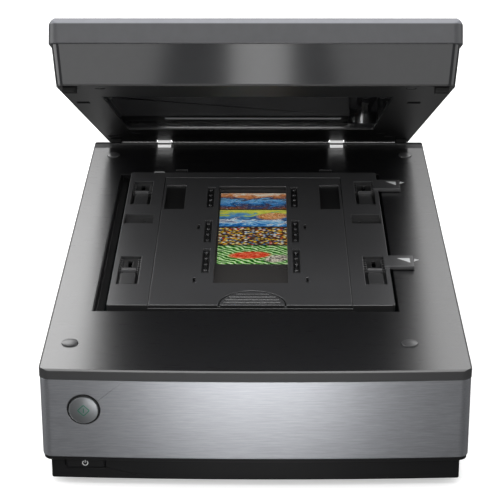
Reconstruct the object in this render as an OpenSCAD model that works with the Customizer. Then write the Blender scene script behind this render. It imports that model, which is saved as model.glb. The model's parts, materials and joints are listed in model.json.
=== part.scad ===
// Flatbed scanner for film negatives: a base with a glass platen and a belt-driven scan
// carriage, a deep lid with its own lamp carriage on two lifting hinge posts, and a
// roll-film holder lying on the glass.
// X runs to the right, Y to the back and Z up. The origin lies on the table, below the
// middle of the base. The lid is drawn closed and turned about its hinge to its rest angle.

/* [Base] */
// Width of the base
base_w = 308; // [300:1:320]
// Depth of the base, from the bow of the front to the rear shelf
base_d = 503; // [498:1:515]
// Height of the top surface above the table
base_h = 96; // [94:1:104]
// Wall thickness of the moulded housings
wall = 2.5; // [2:0.1:3]
// Thickness of the flat plates of the housings
plate_t = 3; // [2.5:0.1:3.5]
// Upright corner radius of the base
corner_r = 8; // [6:0.5:12]
// How far the middle of the front stands out
front_bow = 3.5; // [2:0.5:5]
// Width of the bevel along the top edges
edge_bevel = 1.2; // [0.6:0.1:1.6]
// Height of the dark band along the front of the top cover
band_h = 8; // [6:0.5:10]
// Height of the plinth under the front panel
plinth_h = 20; // [18:0.5:22]
// How far the plinth stands back
plinth_inset = 6; // [4:0.5:8]
// Depth of the low shelf behind the top surface
shelf_d = 13.5; // [12:0.5:16]
// Drop from the top surface to the rear shelf
shelf_drop = 10; // [8:0.5:14]
// Height of the rubber feet
foot_h = 6; // [5:0.5:8]
// Diameter of the rubber feet
foot_dia = 26; // [20:1:30]
// Diameter of the round caps on the top surface
cap_dia = 12; // [10:0.5:13]
// Height of the round caps
cap_rise = 2; // [1:0.1:2.4]

/* [Front panel and buttons] */
// Thickness of the brushed front panel
panel_t = 2.5; // [2:0.1:3]
// How far the panel's ends run back round the corners
panel_wrap = 10; // [9:0.5:14]
// Diameter of the start button
start_dia = 21.3; // [18:0.1:22]
// Distance from the base's left side to the start button's middle
start_in = 31.6; // [30:0.2:44]
// Start button's centre below the top surface
start_drop = 31.5; // [28:0.5:40]
// Travel of the start button
start_travel = 1.2; // [0.8:0.1:1.5]
// Width of the power button
power_w = 28.5; // [24:0.5:30]
// Height of the power button
power_h = 8.7; // [7:0.1:10]
// Distance from the base's left side to the power button's middle
power_in = 30.8; // [30:0.2:44]
// Travel of the power button
power_travel = 1; // [0.6:0.1:1.2]

/* [Platen] */
// Width of the recess round the glass
well_w = 232.4; // [228:0.2:236]
// Length of the recess round the glass
well_d = 297.6; // [297:0.2:302]
// Recess's place off the middle
well_x = -7.8; // [-9:0.2:-6]
// Distance from the base's front corners to the recess
well_front = 99.9; // [96:0.1:102]
// Depth of the glass below the top surface
glass_drop = 6; // [5.5:0.1:7]
// Thickness of the glass
glass_t = 3; // [2.5:0.1:4]
// Width of the sloped border on the left of the glass
slope_left = 8; // [6:0.5:9]
// Width of the sloped border on the other sides
slope_thin = 0.8; // [0.4:0.1:1.2]

/* [Lid] */
// Width of the lid's top cover
lid_w = 291; // [288:0.5:296]
// Width of the lid's case along its underside
lid_under_w = 280; // [276:0.5:284]
// Thickness of the lid
lid_t = 48; // [46:0.5:52]
// Height of the lid's top cover
lid_cap_h = 18.5; // [16:0.5:20]
// Gap between the closed lid and the top surface
lid_gap = 6; // [5.5:0.1:7]
// Distance from the base's front corners to the closed lid's front
lid_front = 28; // [24:0.5:34]
// Length of the lid behind its hinge line
lid_tail = 21.3; // [20:0.1:21.4]
// Bevel along the front and side edges of the lid's top
lid_bevel = 4; // [2:0.5:5]
// Bevel along the rear edge of the lid's top
lid_rear_bevel = 8; // [7:0.5:10]
// Angle at which the lid stands open
lid_rest = 24.25; // [20:0.25:26]
// Widest angle that the lid opens to
lid_open = 60; // [50:1:60]
// Width of the window in the lid's underside
window_w = 214; // [200:1:220]
// Length of the window in the lid's underside
window_d = 262.5; // [250:0.5:270]
// Distance from the lid's front to its window
window_front = 71.5; // [66:0.5:78]
// Window's place off the lid's middle
window_x = -6; // [-8:0.1:-4]
// Depth of the window pane inside the underside
window_deep = 3; // [3:0.5:6]
// Thickness of the window pane
window_t = 2; // [1.5:0.1:2.5]
// Size of the rubber pads at the lid's corners
pad_size = 10; // [8:0.5:12]

/* [Hinge] */
// Hinge line in front of the top surface's rear edge
pivot_in = 12; // [11:0.1:13]
// Hinge line above the top surface
pivot_up = 22; // [21.6:0.1:23]
// Width of a hinge post
post_w = 12; // [10:0.5:13]
// Thickness of a hinge post from front to back
post_d = 8; // [7:0.1:9]
// Left post's place
post_left_x = -88; // [-90:0.5:-86]
// Right post's place
post_right_x = 73; // [71:0.5:75]
// Height that the posts can be drawn up
post_lift = 25; // [15:1:28]
// Radius of the round head of a post
head_r = 7; // [6.5:0.1:7.2]
// Diameter of the hinge pins
pin_dia = 6; // [4:0.1:7]

/* [Film holder] */
// Width of the film holder
holder_w = 219; // [214:0.5:219.4]
// Play between the film holder and the rear of its recess
holder_play = 0.5; // [0.3:0.1:1]
// Thickness of the film holder
holder_t = 5.5; // [5.4:0.1:6]
// Holder's place off the middle
holder_x = -4.05; // [-4.4:0.05:-3.8]
// Distance from the base's front corners to the holder
holder_front = 107.2; // [106.8:0.1:107.4]
// Height at which the adjusters hold the holder above the glass
holder_lift = 2.5; // [2:0.1:2.6]
// Width of the hinged film cover
cover_w = 155; // [150:0.5:158]
// Thickness of the hinged film cover
cover_t = 2.6; // [2.4:0.1:2.8]
// Distance from the film cover's rear edge to the holder's rear edge
cover_back = 13.2; // [11:0.2:16]
// Film cover's place off the holder's middle
cover_x = -0.45; // [-1.5:0.05:1]
// Width of the film window
film_window_w = 58.4; // [56:0.2:60]
// Distance from the holder's front to the film window
film_window_front = 42; // [38:0.5:46]
// Distance from the film window to the holder's rear
film_window_back = 34.8; // [32:0.2:40]
// Width of a strip of roll film
film_w = 61.5; // [61:0.1:62]
// Thickness of the film
film_t = 0.2; // [0.15:0.05:0.3]
// Thickness of the clear plate under the film
support_t = 1.4; // [1:0.1:1.5]
// Width of a height adjuster's pocket
adjuster_w = 17; // [15:0.5:18]
// Length of a height adjuster's pocket
adjuster_d = 56; // [50:1:60]
// Width of the side notches for fingers
notch_w = 24.5; // [20:0.5:26]
// Length of the side notches
notch_d = 21; // [18:0.5:24]
// Reach of the side tabs over the base
tab_reach = 19.5; // [16:0.5:20]
// Length of the side tabs along the holder
tab_d = 22; // [18:0.5:24]
// Radius of the finger tab's arc
finger_r = 26; // [22:0.5:28]

/* [Scan unit] */
// Diameter of the carriage's guide rod
rod_dia = 8; // [6:0.5:9]
// Width of the scan carriage
carriage_w = 210; // [200:1:216]
// Length of the scan carriage
carriage_d = 64; // [56:1:70]
// Distance from the scan motor's shaft to the rear edge of the top surface
motor_back = 30; // [28:0.5:34]
// Radius of the belt pulleys
pulley_r = 6.5; // [5.5:0.1:7]
// Thickness of the drive belts
belt_t = 1.2; // [0.9:0.1:1.5]
// Height of the drive belts
belt_h = 6; // [5:0.5:6]
// Diameter of the scan motor
motor_dia = 35; // [28:1:38]
// Diameter of the lid carriage's rod
lid_rod_dia = 6; // [5:0.5:7]
// Length of the lid's lamp carriage
lamp_carriage_d = 44; // [36:1:48]
// Travel of the lid's lamp carriage
lamp_travel = 206; // [196:1:208]

/* [Hidden] */
$fn = 48;

// Colours of the finishes
shell_grey = "#3a3b3d";
black_plastic = "#1d1e20";
brushed_silver = "#9d9fa3";
bright_steel = "#c9cacc";
soft_black = "#161616";
board_green = "#1f5a3a";
holder_grey = "#333436";

// Clearances: still faces of different bodies, running shafts, and overshoot of a cut
gap = 0.3;
running = 0.05;
cut = 1;

// Levels and places of the base
front_y = -base_d / 2 + front_bow;
rear_y = base_d / 2;
top_rear_y = rear_y - shelf_d;
skirt_z = foot_h + plinth_h;
shelf_z = base_h - shelf_drop;
floor_z = foot_h + plate_t;
panel_top_z = base_h - band_h;
half_w = base_w / 2;
chord = half_w - corner_r;
bow_r = (chord * chord + front_bow * front_bow) / (2 * front_bow);
bow_y = -base_d / 2 + bow_r;

// Where the bowed front stands at a given x, set back by inset
function front_at(x, inset = 0) = bow_y - sqrt(pow(bow_r - inset, 2) - x * x);

// Distance from the front corners turned into Y
function from_front(t) = front_y + t;

// Places of the platen
glass_z = base_h - glass_drop;
well_x0 = well_x - well_w / 2;
well_x1 = well_x + well_w / 2;
well_y0 = from_front(well_front);
well_y1 = well_y0 + well_d;
glass_x0 = well_x0 + slope_left;
glass_x1 = well_x1 - slope_thin;
glass_y0 = well_y0 + slope_thin;
glass_y1 = well_y1 - slope_thin / 4;
frame_lap = 6;

// Places of the lid, in its own frame: Y from the hinge line and Z from the underside
pivot_y = top_rear_y - pivot_in;
pivot_z = base_h + pivot_up;
axle_z = pivot_up - lid_gap;
lid_reach = pivot_y - from_front(lid_front);
lid_case_h = lid_t - lid_cap_h;
lid_case_w = lid_w - 4;
lid_corner_r = 7;
window_x0 = window_x - window_w / 2;
window_x1 = window_x + window_w / 2;
window_y0 = -lid_reach + window_front;
window_y1 = window_y0 + window_d;
window_rim = 4;
window_lap = 2;
window_top = window_deep + window_t;
rim_top = window_top + 1;
post_xs = [post_left_x, post_right_x];
slot_half = post_w / 2 + gap + 1;
head_room = head_r + 2;
ear_t = 3.5;

// Places of the film holder
holder_z = glass_z + holder_lift;
holder_top = holder_z + holder_t;
holder_y0 = from_front(holder_front);
holder_y1 = well_y1 - holder_play;
holder_d = holder_y1 - holder_y0;
holder_x0 = holder_x - holder_w / 2;
holder_x1 = holder_x + holder_w / 2;
cover_mid = holder_x + cover_x;
cover_y1 = holder_y1 - cover_back;
cover_y0 = holder_y0;
tray_z = holder_top - cover_t - gap;
film_y0 = holder_y0 + film_window_front;
film_y1 = holder_y1 - film_window_back;
film_window_d = film_y1 - film_y0;
film_lap = (film_w - film_window_w) / 2 + 2;
film_z = tray_z - film_t;
support_z = film_z - support_t;
hinge_r = cover_t / 2;
hinge_y = cover_y1 - hinge_r;
hinge_z = holder_top - hinge_r;
cover_pin_r = 0.8;
cover_pin_l = 2;
pocket_deep = 3;
adjuster_xs = [holder_x0 + 12.5, holder_x1 - 12];
adjuster_ys = [holder_y0 + 67.5, holder_y1 - 50.8];

// Places of the scan unit
carriage_y = from_front(51);
carriage_y0 = carriage_y - carriage_d / 2;
carriage_y1 = carriage_y + carriage_d / 2;
carriage_top = glass_z - glass_t - 7;
carriage_bottom = 46;
rod_x = -20;
rod_z = 24;
post_box = 10;
rod_y0 = carriage_y0 - 1 - post_box;
rod_y1 = top_rear_y - 10;
belt_x = 52;
belt_z = 31;
belt_y0 = from_front(22);
belt_y1 = top_rear_y - motor_back;
pulley_h = belt_h + 3;
shaft_r = 2.5;
rail_x = 96;
rail_w = 8;
rail_t = 2;
rail_z = carriage_bottom - 12;
board_z = floor_z + 2;
board_t = 1.6;
tray_wall_y = rear_y - plinth_inset;

// Places of the lid's drive
lid_rod_x = -127;
lid_rod_z = 24;
lid_belt_x = 92;
lid_belt_z = 16;
lid_pulley_r = 5;
lamp_y1 = window_y1 - 4;
lamp_y0 = lamp_y1 - lamp_carriage_d;
lamp_mid = (lamp_y0 + lamp_y1) / 2;
lamp_clamp = 8;
lid_belt_y0 = lamp_mid - lamp_travel - lamp_clamp - lid_pulley_r - 8;
lid_belt_y1 = window_y1 + 20;

// ---------------------------------------------------------------- shared shapes

// A flat rectangle with round corners, centred
module rounded_rect(w, d, r) {
    square([w - 2 * r, d], center = true);
    square([w, d - 2 * r], center = true);
    for (sx = [-1, 1], sy = [-1, 1])
        translate([sx * (w / 2 - r), sy * (d / 2 - r)])
            circle(r = r);
}

// An upright plate with round corners, centred in X and Y
module slab(w, d, h, r) {
    linear_extrude(height = h)
        rounded_rect(w, d, r);
}

// A plain block between two corners
module block(lo, hi) {
    translate(lo)
        cube(hi - lo);
}

// A block whose sides lean from the limits lo at its foot to hi at its head;
// each is [left, right, front, back]
module leaning_block(lo, hi, h) {
    intersection() {
        rotate([90, 0, 0])
            translate([0, 0, -max(lo[3], hi[3]) - cut])
                linear_extrude(height = max(lo[3], hi[3]) - min(lo[2], hi[2]) + 2 * cut)
                    polygon([[lo[0], 0], [lo[1], 0], [hi[1], h], [hi[0], h]]);
        rotate([90, 0, 90])
            translate([0, 0, min(lo[0], hi[0]) - cut])
                linear_extrude(height = max(lo[1], hi[1]) - min(lo[0], hi[0]) + 2 * cut)
                    polygon([[lo[2], 0], [lo[3], 0], [hi[3], h], [hi[2], h]]);
    }
}

// The base's outline in plan, with its bowed front, drawn in by inset
module base_outline(inset = 0) {
    w = base_w - 2 * inset;
    d = rear_y - front_y - 2 * inset;
    r = max(corner_r - inset, 1);
    translate([0, (rear_y + front_y) / 2])
        rounded_rect(w, d, r);
    intersection() {
        translate([0, bow_y])
            circle(r = bow_r - inset, $fn = 360);
        translate([-(w / 2 - r), -base_d / 2 - cut])
            square([w - 2 * r, base_d / 2]);
    }
}

// The base's outline as a solid between two heights
module base_prism(z0, z1, inset = 0) {
    translate([0, 0, z0])
        linear_extrude(height = z1 - z0)
            base_outline(inset);
}

// A rod along Y
module rod_y(x, y0, y1, z, r) {
    translate([x, y0, z])
        rotate([-90, 0, 0])
            cylinder(r = r, h = y1 - y0);
}

// A rod along X
module rod_x(x0, x1, y, z, r) {
    translate([x0, y, z])
        rotate([0, 90, 0])
            cylinder(r = r, h = x1 - x0);
}

// A screw standing head down, with a cross recess
module screw(head_dia, head_h, shank_dia, shank_l) {
    difference() {
        cylinder(d = head_dia, h = head_h);
        for (turn = [0, 90])
            rotate([0, 0, turn])
                translate([-head_dia * 0.3, -0.5, -cut])
                    cube([head_dia * 0.6, 1, cut + head_h * 0.5]);
    }
    translate([0, 0, head_h])
        cylinder(d = shank_dia, h = shank_l);
}

// A toothed belt's loop round two pulleys, lying flat
module belt_loop(x, y0, y1, z, r) {
    inner = r + gap;
    translate([x, 0, z])
        linear_extrude(height = belt_h)
            difference() {
                belt_outline(y0, y1, inner + belt_t);
                belt_outline(y0, y1, inner);
            }
}

module belt_outline(y0, y1, r) {
    translate([-r, y0])
        square([2 * r, y1 - y0]);
    for (y = [y0, y1])
        translate([0, y])
            circle(r = r);
}

// A toothed pulley with two flanges and a bore, standing on z = 0
module pulley(r, h, bore_r, teeth = 14) {
    flange = 1;
    difference() {
        union() {
            difference() {
                translate([0, 0, flange / 2])
                    cylinder(r = r, h = h - flange);
                for (i = [0 : teeth - 1])
                    rotate([0, 0, i * 360 / teeth])
                        translate([r, 0, 0])
                            cylinder(r = r * 0.11, h = h, $fn = 24);
            }
            cylinder(r = r + 1.4, h = flange);
            translate([0, 0, h - flange])
                cylinder(r = r + 1.4, h = flange);
        }
        translate([0, 0, -cut])
            cylinder(r = bore_r, h = h + 2 * cut);
    }
}

// Moves a shape from the lid's own frame to its rest pose
module on_lid() {
    translate([0, pivot_y, pivot_z])
        rotate([-lid_rest, 0, 0])
            translate([0, 0, -axle_z])
                children();
}

// ---------------------------------------------------------------- base housings

foot_xs = [-half_w + 34, half_w - 34];
foot_ys = [from_front(40), 0, rear_y - 44];
screw_xs = [-half_w + 22, half_w - 22];
screw_ys = [from_front(70), rear_y - 74];
boss_r = 4.5;
screw_r = 1.6;

// Tray: the plinth with its floor, ribs, screw bosses and the carriage's supports
module base_tray() {
    color(black_plastic)
        difference() {
            union() {
                difference() {
                    base_prism(foot_h, skirt_z, plinth_inset);
                    base_prism(floor_z, skirt_z + cut, plinth_inset + wall);
                }
                // flange that the cover and the front panel stand on
                difference() {
                    base_prism(skirt_z - plate_t, skirt_z, wall / 2);
                    base_prism(skirt_z - plate_t - cut, skirt_z + cut, plinth_inset + wall / 2);
                }
                for (x = screw_xs, y = screw_ys)
                    translate([x, y, floor_z - cut])
                        cylinder(r = boss_r, h = skirt_z - floor_z + cut);
                // stiffening ribs across the floor
                for (y = [from_front(110) : 90 : rear_y - 110])
                    block([-half_w + 40, y, floor_z - cut], [half_w - 40, y + 2, board_z]);
                rod_block(rod_y0);
                rod_block(rod_y1 - post_box);
                motor_seat();
                bracket_seat();
                board_posts();
            }
            rod_y(rod_x, rod_y0 - cut, rod_y1 + cut, rod_z, rod_dia / 2 + running);
            for (x = foot_xs, y = foot_ys)
                translate([x, y, foot_h - cut])
                    cylinder(d = foot_dia + 2 * running, h = cut + 1.2);
            for (x = screw_xs, y = screw_ys)
                translate([x, y, foot_h - cut]) {
                    cylinder(r = screw_r + 0.2, h = skirt_z);
                    cylinder(r = 4, h = cut + 2);
                }
            power_opening();
            usb_opening();
            inlet_opening();
            // cooling slots in the rear wall
            for (i = [0 : 9])
                translate([20 + i * 7, tray_wall_y - wall - cut, floor_z + 3])
                    cube([3, wall + 2 * cut, 9]);
        }
}

module rod_block(y) {
    block([rod_x - post_box, y, floor_z - cut], [rod_x + post_box, y + post_box, rod_z + 9]);
}

module motor_seat() {
    translate([belt_x, belt_y1, floor_z - cut])
        cylinder(d = motor_dia + 6, h = cut + 2);
}

module bracket_seat() {
    block([belt_x - 14, belt_y0 - 10, floor_z - cut], [belt_x + 14, belt_y0 + 18, belt_z - 5]);
}

board_x0 = -half_w + 28;
board_x1 = -44;
board_w = board_x1 - board_x0;
board_y0 = tray_wall_y - wall - 96;
board_y1 = tray_wall_y - wall - 2;

module board_posts() {
    for (x = [board_x0 + 6, board_x1 - 6], y = [board_y0 + 6, board_y1 - 14])
        translate([x, y, floor_z - cut])
            cylinder(r = 3.5, h = board_z - floor_z + cut);
}

// Six feet, each with a shallow hollow below
module rubber_feet() {
    color(soft_black)
        for (x = foot_xs, y = foot_ys)
            translate([x, y, 0])
                difference() {
                    union() {
                        cylinder(d1 = foot_dia - 3, d2 = foot_dia, h = 2);
                        translate([0, 0, 2])
                            cylinder(d = foot_dia, h = foot_h + 1.2 - 2);
                    }
                    translate([0, 0, -cut])
                        cylinder(d = foot_dia / 3, h = cut + 1);
                }
}

// Screws that hold the top cover, sunk into the tray's floor
module tray_screws() {
    color(bright_steel)
        for (x = screw_xs, y = screw_ys)
            translate([x, y, foot_h + 0.4])
                screw(6.4, 1.6, screw_r * 2, skirt_z - foot_h + 6);
}

// Envelope of the base with a bevel along its top edges
module bevelled_base(z0, z1) {
    b = edge_bevel;
    intersection() {
        base_prism(z0, z1);
        translate([0, bow_y, 0]) {
            translate([0, 0, z0])
                cylinder(r = bow_r, h = z1 - b - z0, $fn = 360);
            translate([0, 0, z1 - b])
                cylinder(r1 = bow_r, r2 = bow_r - b, h = b, $fn = 360);
        }
        rotate([90, 0, 0])
            translate([0, 0, -base_d])
                linear_extrude(height = 2 * base_d)
                    polygon([
                        [-half_w, z0], [half_w, z0], [half_w, z1 - b],
                        [half_w - b, z1], [b - half_w, z1], [-half_w, z1 - b],
                    ]);
        rotate([90, 0, 90])
            translate([0, 0, -base_w])
                linear_extrude(height = 2 * base_w)
                    polygon([
                        [-base_d, z0], [rear_y, z0], [rear_y, shelf_z - b],
                        [rear_y - b, shelf_z], [top_rear_y, shelf_z],
                        [top_rear_y, z1 - b], [top_rear_y - b, z1], [-base_d, z1],
                    ]);
    }
}

lid_socket_x = half_w - 46;
lid_socket_z = 52;
lid_socket_w = 26;
lid_socket_h = 12;
lock_x = -40;
lock_z = 48;
lock_w = 10;
lock_h = 5;
lock_travel = 8;

// Upper housing: top surface with the platen's recess, side walls and rear shelf
module top_cover() {
    color(shell_grey)
        difference() {
            union() {
                difference() {
                    bevelled_base(skirt_z, base_h);
                    intersection() {
                        base_prism(skirt_z - cut, base_h - plate_t, wall);
                        rotate([90, 0, 90])
                            translate([0, 0, -base_w])
                                linear_extrude(height = 2 * base_w)
                                    polygon([
                                        [-base_d, 0], [base_d, 0],
                                        [base_d, shelf_z - plate_t],
                                        [top_rear_y - wall, shelf_z - plate_t],
                                        [top_rear_y - wall, base_h], [-base_d, base_h],
                                    ]);
                    }
                }
                for (x = screw_xs, y = screw_ys)
                    translate([x, y, skirt_z])
                        cylinder(r = boss_r, h = base_h - plate_t - skirt_z + cut);
                // ribs under the side margins of the top surface
                for (x = [well_x0 - 14, well_x1 + 14])
                    block([x, well_y0, base_h - plate_t - 8], [x + 2, well_y1, base_h - plate_t + cut]);
            }
            block([well_x0, well_y0, base_h - plate_t - cut], [well_x1, well_y1, base_h + cut]);
            // the front panel takes the place of the wall below the band
            block([-half_w - cut, -base_d / 2 - cut, skirt_z - cut],
                  [half_w + cut, from_front(panel_wrap) + gap, panel_top_z]);
            for (x = screw_xs, y = screw_ys)
                translate([x, y, skirt_z - cut])
                    cylinder(r = screw_r + running, h = 12);
            for (x = cap_points)
                translate([x[0], x[1], base_h - 1])
                    cylinder(d = cap_dia + 2 * running, h = 2);
            for (x = post_xs)
                block([x - post_w / 2 - gap, post_y0 - gap, base_h - plate_t - cut],
                      [x + post_w / 2 + gap, post_y0 + post_d + gap, base_h + cut]);
            // shallow seats behind the platen
            for (s = [-1, 1])
                translate([holder_x + s * 65 - 5.2, well_y1 + 1.5, base_h - 1])
                    cube([10.4, 11, 1 + cut]);
            block([lid_socket_x - lid_socket_w / 2 - running, rear_y - wall - cut,
                   lid_socket_z - lid_socket_h / 2 - running],
                  [lid_socket_x + lid_socket_w / 2 + running, rear_y + cut,
                   lid_socket_z + lid_socket_h / 2 + running]);
            block([lock_x - lock_w / 2 - gap, rear_y - wall - cut, lock_z - lock_h / 2 - gap],
                  [lock_x + lock_w / 2 + lock_travel + gap, rear_y + cut, lock_z + lock_h / 2 + gap]);
        }
}

cap_points = [
    [-135.2 / 154 * half_w, from_front(43.4)], [112 / 154 * half_w, from_front(43.4)],
    [-134 / 154 * half_w, top_rear_y - 38.4], [135.5 / 154 * half_w, top_rear_y - 38.4],
];

// Round caps set into the top surface
module top_caps() {
    color(bright_steel)
        for (p = cap_points)
            translate([p[0], p[1], base_h - 1])
                rotate_extrude()
                    intersection() {
                        square([cap_dia / 2, cap_rise + 1]);
                        union() {
                            square([cap_dia / 2, 1.4]);
                            translate([0, cap_rise + 1 - cap_dome_r])
                                circle(r = cap_dome_r);
                        }
                    }
}
cap_dome_r = (pow(cap_dia / 2, 2) + pow(cap_rise - 0.4, 2)) / (2 * (cap_rise - 0.4));

// ---------------------------------------------------------------- front panel and buttons

panel_in = 0.4;
start_x = -half_w + start_in;
start_y = front_at(start_x, panel_in);
start_z = base_h - start_drop;
ring_t = 0.8;
ring_r = start_dia / 2 + gap + ring_t;

// Bowed, brushed panel between the band and the plinth, with clips on its back
module front_panel() {
    back = from_front(panel_wrap);
    color(brushed_silver)
        difference() {
            union() {
                intersection() {
                    difference() {
                        base_prism(skirt_z, panel_top_z, panel_in);
                        base_prism(skirt_z - cut, panel_top_z + cut, panel_in + panel_t);
                    }
                    block([-half_w - cut, -base_d / 2 - cut, skirt_z], [half_w + cut, back, panel_top_z]);
                }
                for (x = [-90 : 45 : 90])
                    panel_clip(x);
                for (x = [start_x - 17, start_x + 17])
                    rod_y(x, front_at(x, panel_in + panel_t) - 0.5, switch_y, start_z, 3);
            }
            rod_y(start_x, start_y - 3, start_y + 6, start_z, ring_r + running);
        }
}

module panel_clip(x) {
    y = front_at(x, panel_in + panel_t) - 0.5;
    block([x - 4, y, panel_top_z - 8], [x + 4, y + 5, panel_top_z - 5]);
    block([x - 1, y, skirt_z + 4], [x + 1, y + 5, panel_top_z - 5]);
}

switch_y = start_y + 12;

// Dark ring round the start button
module start_ring() {
    color(soft_black)
        difference() {
            rod_y(start_x, start_y - 0.5, start_y + 5, start_z, ring_r);
            rod_y(start_x, start_y - 0.5 - cut, start_y + 5 + cut, start_z, ring_r - ring_t);
        }
}

// Domed start button with a plunger
module start_button() {
    r = start_dia / 2;
    dome = 1.6;
    dome_r = (r * r + dome * dome) / (2 * dome);
    color(bright_steel)
        translate([start_x, start_y, start_z])
            rotate([-90, 0, 0]) {
                rotate_extrude()
                    intersection() {
                        translate([0, -dome])
                            square([r, 6 + dome]);
                        union() {
                            square([r, 6]);
                            translate([0, dome_r - dome])
                                circle(r = dome_r);
                        }
                    }
                cylinder(r = 3, h = switch_y - start_y - switch_h - start_travel - gap);
            }
}

switch_h = 3.5;

// Small board behind the start button with its switch
module button_board() {
    color(board_green)
        block([start_x - 21, switch_y, start_z - 9], [start_x + 21, switch_y + board_t, start_z + 9]);
    color(soft_black)
        block([start_x - 3, switch_y - switch_h, start_z - 3], [start_x + 3, switch_y, start_z + 3]);
}

power_x = -half_w + power_in;
power_y = front_at(power_x, plinth_inset);
power_z = skirt_z - plate_t / 2 - power_h / 2 - 1;

module power_opening() {
    translate([power_x, power_y - 3, power_z])
        rotate([-90, 0, 0])
            linear_extrude(height = wall + 6)
                rounded_rect(power_w + 2 * gap, power_h + 2 * gap, 1.5 + gap);
}

// Power button in the plinth, with a collar behind the wall and a bevelled face
module power_button() {
    back = front_at(power_x - power_w / 2 - 2, plinth_inset + wall) + gap + power_travel;
    color(soft_black) {
        translate([power_x, power_y - 1, power_z])
            rotate([-90, 0, 0])
                linear_extrude(height = back - power_y + 1.5)
                    rounded_rect(power_w, power_h, 1.5);
        translate([power_x, power_y - 1.6, power_z])
            rotate([-90, 0, 0])
                linear_extrude(height = 1.6)
                    rounded_rect(power_w - 1.6, power_h - 1.6, 1);
    }
}

// ---------------------------------------------------------------- platen

// Border of the platen: a flange under the cover and slopes down to the glass
module platen_frame() {
    color(black_plastic)
        difference() {
            union() {
                block([well_x0 - frame_lap, well_y0 - frame_lap, glass_z],
                      [well_x1 + frame_lap, well_y1 + frame_lap, base_h - plate_t]);
                block([well_x0 + running, well_y0 + running, base_h - plate_t - cut],
                      [well_x1 - running, well_y1 - running, base_h - 0.4]);
            }
            // fine groove along the left slope
            block([well_x0 + 2.4, well_y0 + 2, glass_z + 3.6], [well_x0 + 3.2, well_y1 - 2, base_h]);
            translate([0, 0, glass_z - cut])
                leaning_block([glass_x0, glass_x1, glass_y0, glass_y1],
                              [glass_x0, glass_x1, glass_y0, glass_y1], cut + 0.5);
            translate([0, 0, glass_z])
                leaning_block([glass_x0, glass_x1, glass_y0, glass_y1],
                              [well_x0 + 0.6, well_x1 - 0.3, well_y0 + 0.3, well_y1 - 0.1],
                              glass_drop);
        }
}

module platen_glass() {
    color("lightblue", 0.4)
        block([glass_x0 - 5, glass_y0 - 5, glass_z - glass_t], [glass_x1 + 5, glass_y1 + 5, glass_z]);
}

// White strip under the front edge of the glass, read before each scan
module calibration_strip() {
    color("white")
        block([glass_x0, glass_y0 - 4, glass_z - glass_t - 0.5],
              [glass_x1, glass_y0 + 8, glass_z - glass_t]);
}

// ---------------------------------------------------------------- boards and sockets

// Main board with its chips, on four posts
module main_board() {
    color(board_green)
        block([board_x0, board_y0, board_z], [board_x1, board_y1, board_z + board_t]);
    color(soft_black)
        for (p = [[0.24, 24, 22], [0.63, 20, 14], [0.29, 58, 12], [0.73, 58, 16]])
            translate([board_x0 + p[0] * board_w, board_y0 + p[1], board_z + board_t])
                cube([p[2], p[2], 2]);
    color(bright_steel)
        for (i = [0 : 3])
            translate([board_x0 + (0.54 + i * 0.12) * board_w, board_y0 + 80, board_z + board_t])
                cylinder(r = 3.5, h = 9);
}

usb_x = board_x0 + 8;
inlet_x = board_x0 + 34;
socket_z = board_z + board_t;
usb_w = 12;
usb_h = 10.8;

module usb_opening() {
    block([usb_x - usb_w / 2 - gap, tray_wall_y - wall - cut, socket_z - gap],
          [usb_x + usb_w / 2 + gap, tray_wall_y + cut, socket_z + usb_h + gap]);
}

// Square data socket on the board's rear edge
module usb_socket() {
    depth = 16;
    color(bright_steel)
        difference() {
            block([usb_x - usb_w / 2, tray_wall_y - depth, socket_z],
                  [usb_x + usb_w / 2, tray_wall_y - 0.2, socket_z + usb_h]);
            difference() {
                block([usb_x - usb_w / 2 + 1.2, tray_wall_y - depth + 2, socket_z + 1.2],
                      [usb_x + usb_w / 2 - 1.2, tray_wall_y + cut, socket_z + usb_h - 1.2]);
                block([usb_x - 2.8, tray_wall_y - depth, socket_z + 3.8],
                      [usb_x + 2.8, tray_wall_y - 1, socket_z + 7]);
            }
        }
}

module inlet_opening() {
    block([inlet_x - 5 - gap, tray_wall_y - wall - cut, socket_z - gap],
          [inlet_x + 5 + gap, tray_wall_y + cut, socket_z + 11 + gap]);
}

// Round supply inlet with its centre pin
module power_inlet() {
    depth = 14;
    z = socket_z + 6;
    color(soft_black)
        difference() {
            block([inlet_x - 5, tray_wall_y - depth, socket_z],
                  [inlet_x + 5, tray_wall_y - 0.2, socket_z + 11]);
            difference() {
                rod_y(inlet_x, tray_wall_y - depth + 3, tray_wall_y + cut, z, 3.2);
                rod_y(inlet_x, tray_wall_y - depth, tray_wall_y - 2, z, 1);
            }
        }
}

// Socket in the rear wall for the lid's lead, with a flange behind the wall
module lid_socket() {
    w = lid_socket_w;
    h = lid_socket_h;
    color(bright_steel)
        difference() {
            union() {
                block([lid_socket_x - w / 2, rear_y - wall - 8, lid_socket_z - h / 2],
                      [lid_socket_x + w / 2, rear_y - 0.3, lid_socket_z + h / 2]);
                block([lid_socket_x - w / 2 - 5, rear_y - wall - 2, lid_socket_z - h / 2 - 2],
                      [lid_socket_x + w / 2 + 5, rear_y - wall, lid_socket_z + h / 2 + 2]);
            }
            difference() {
                block([lid_socket_x - w / 2 + 2, rear_y - 6, lid_socket_z - h / 2 + 2],
                      [lid_socket_x + w / 2 - 2, rear_y + cut, lid_socket_z + h / 2 - 2]);
                for (i = [-4 : 4], j = [-1, 1])
                    rod_y(lid_socket_x + i * 2.2, rear_y - 7, rear_y - 2,
                          lid_socket_z + j * 1.6, 0.5);
            }
        }
}

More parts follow.
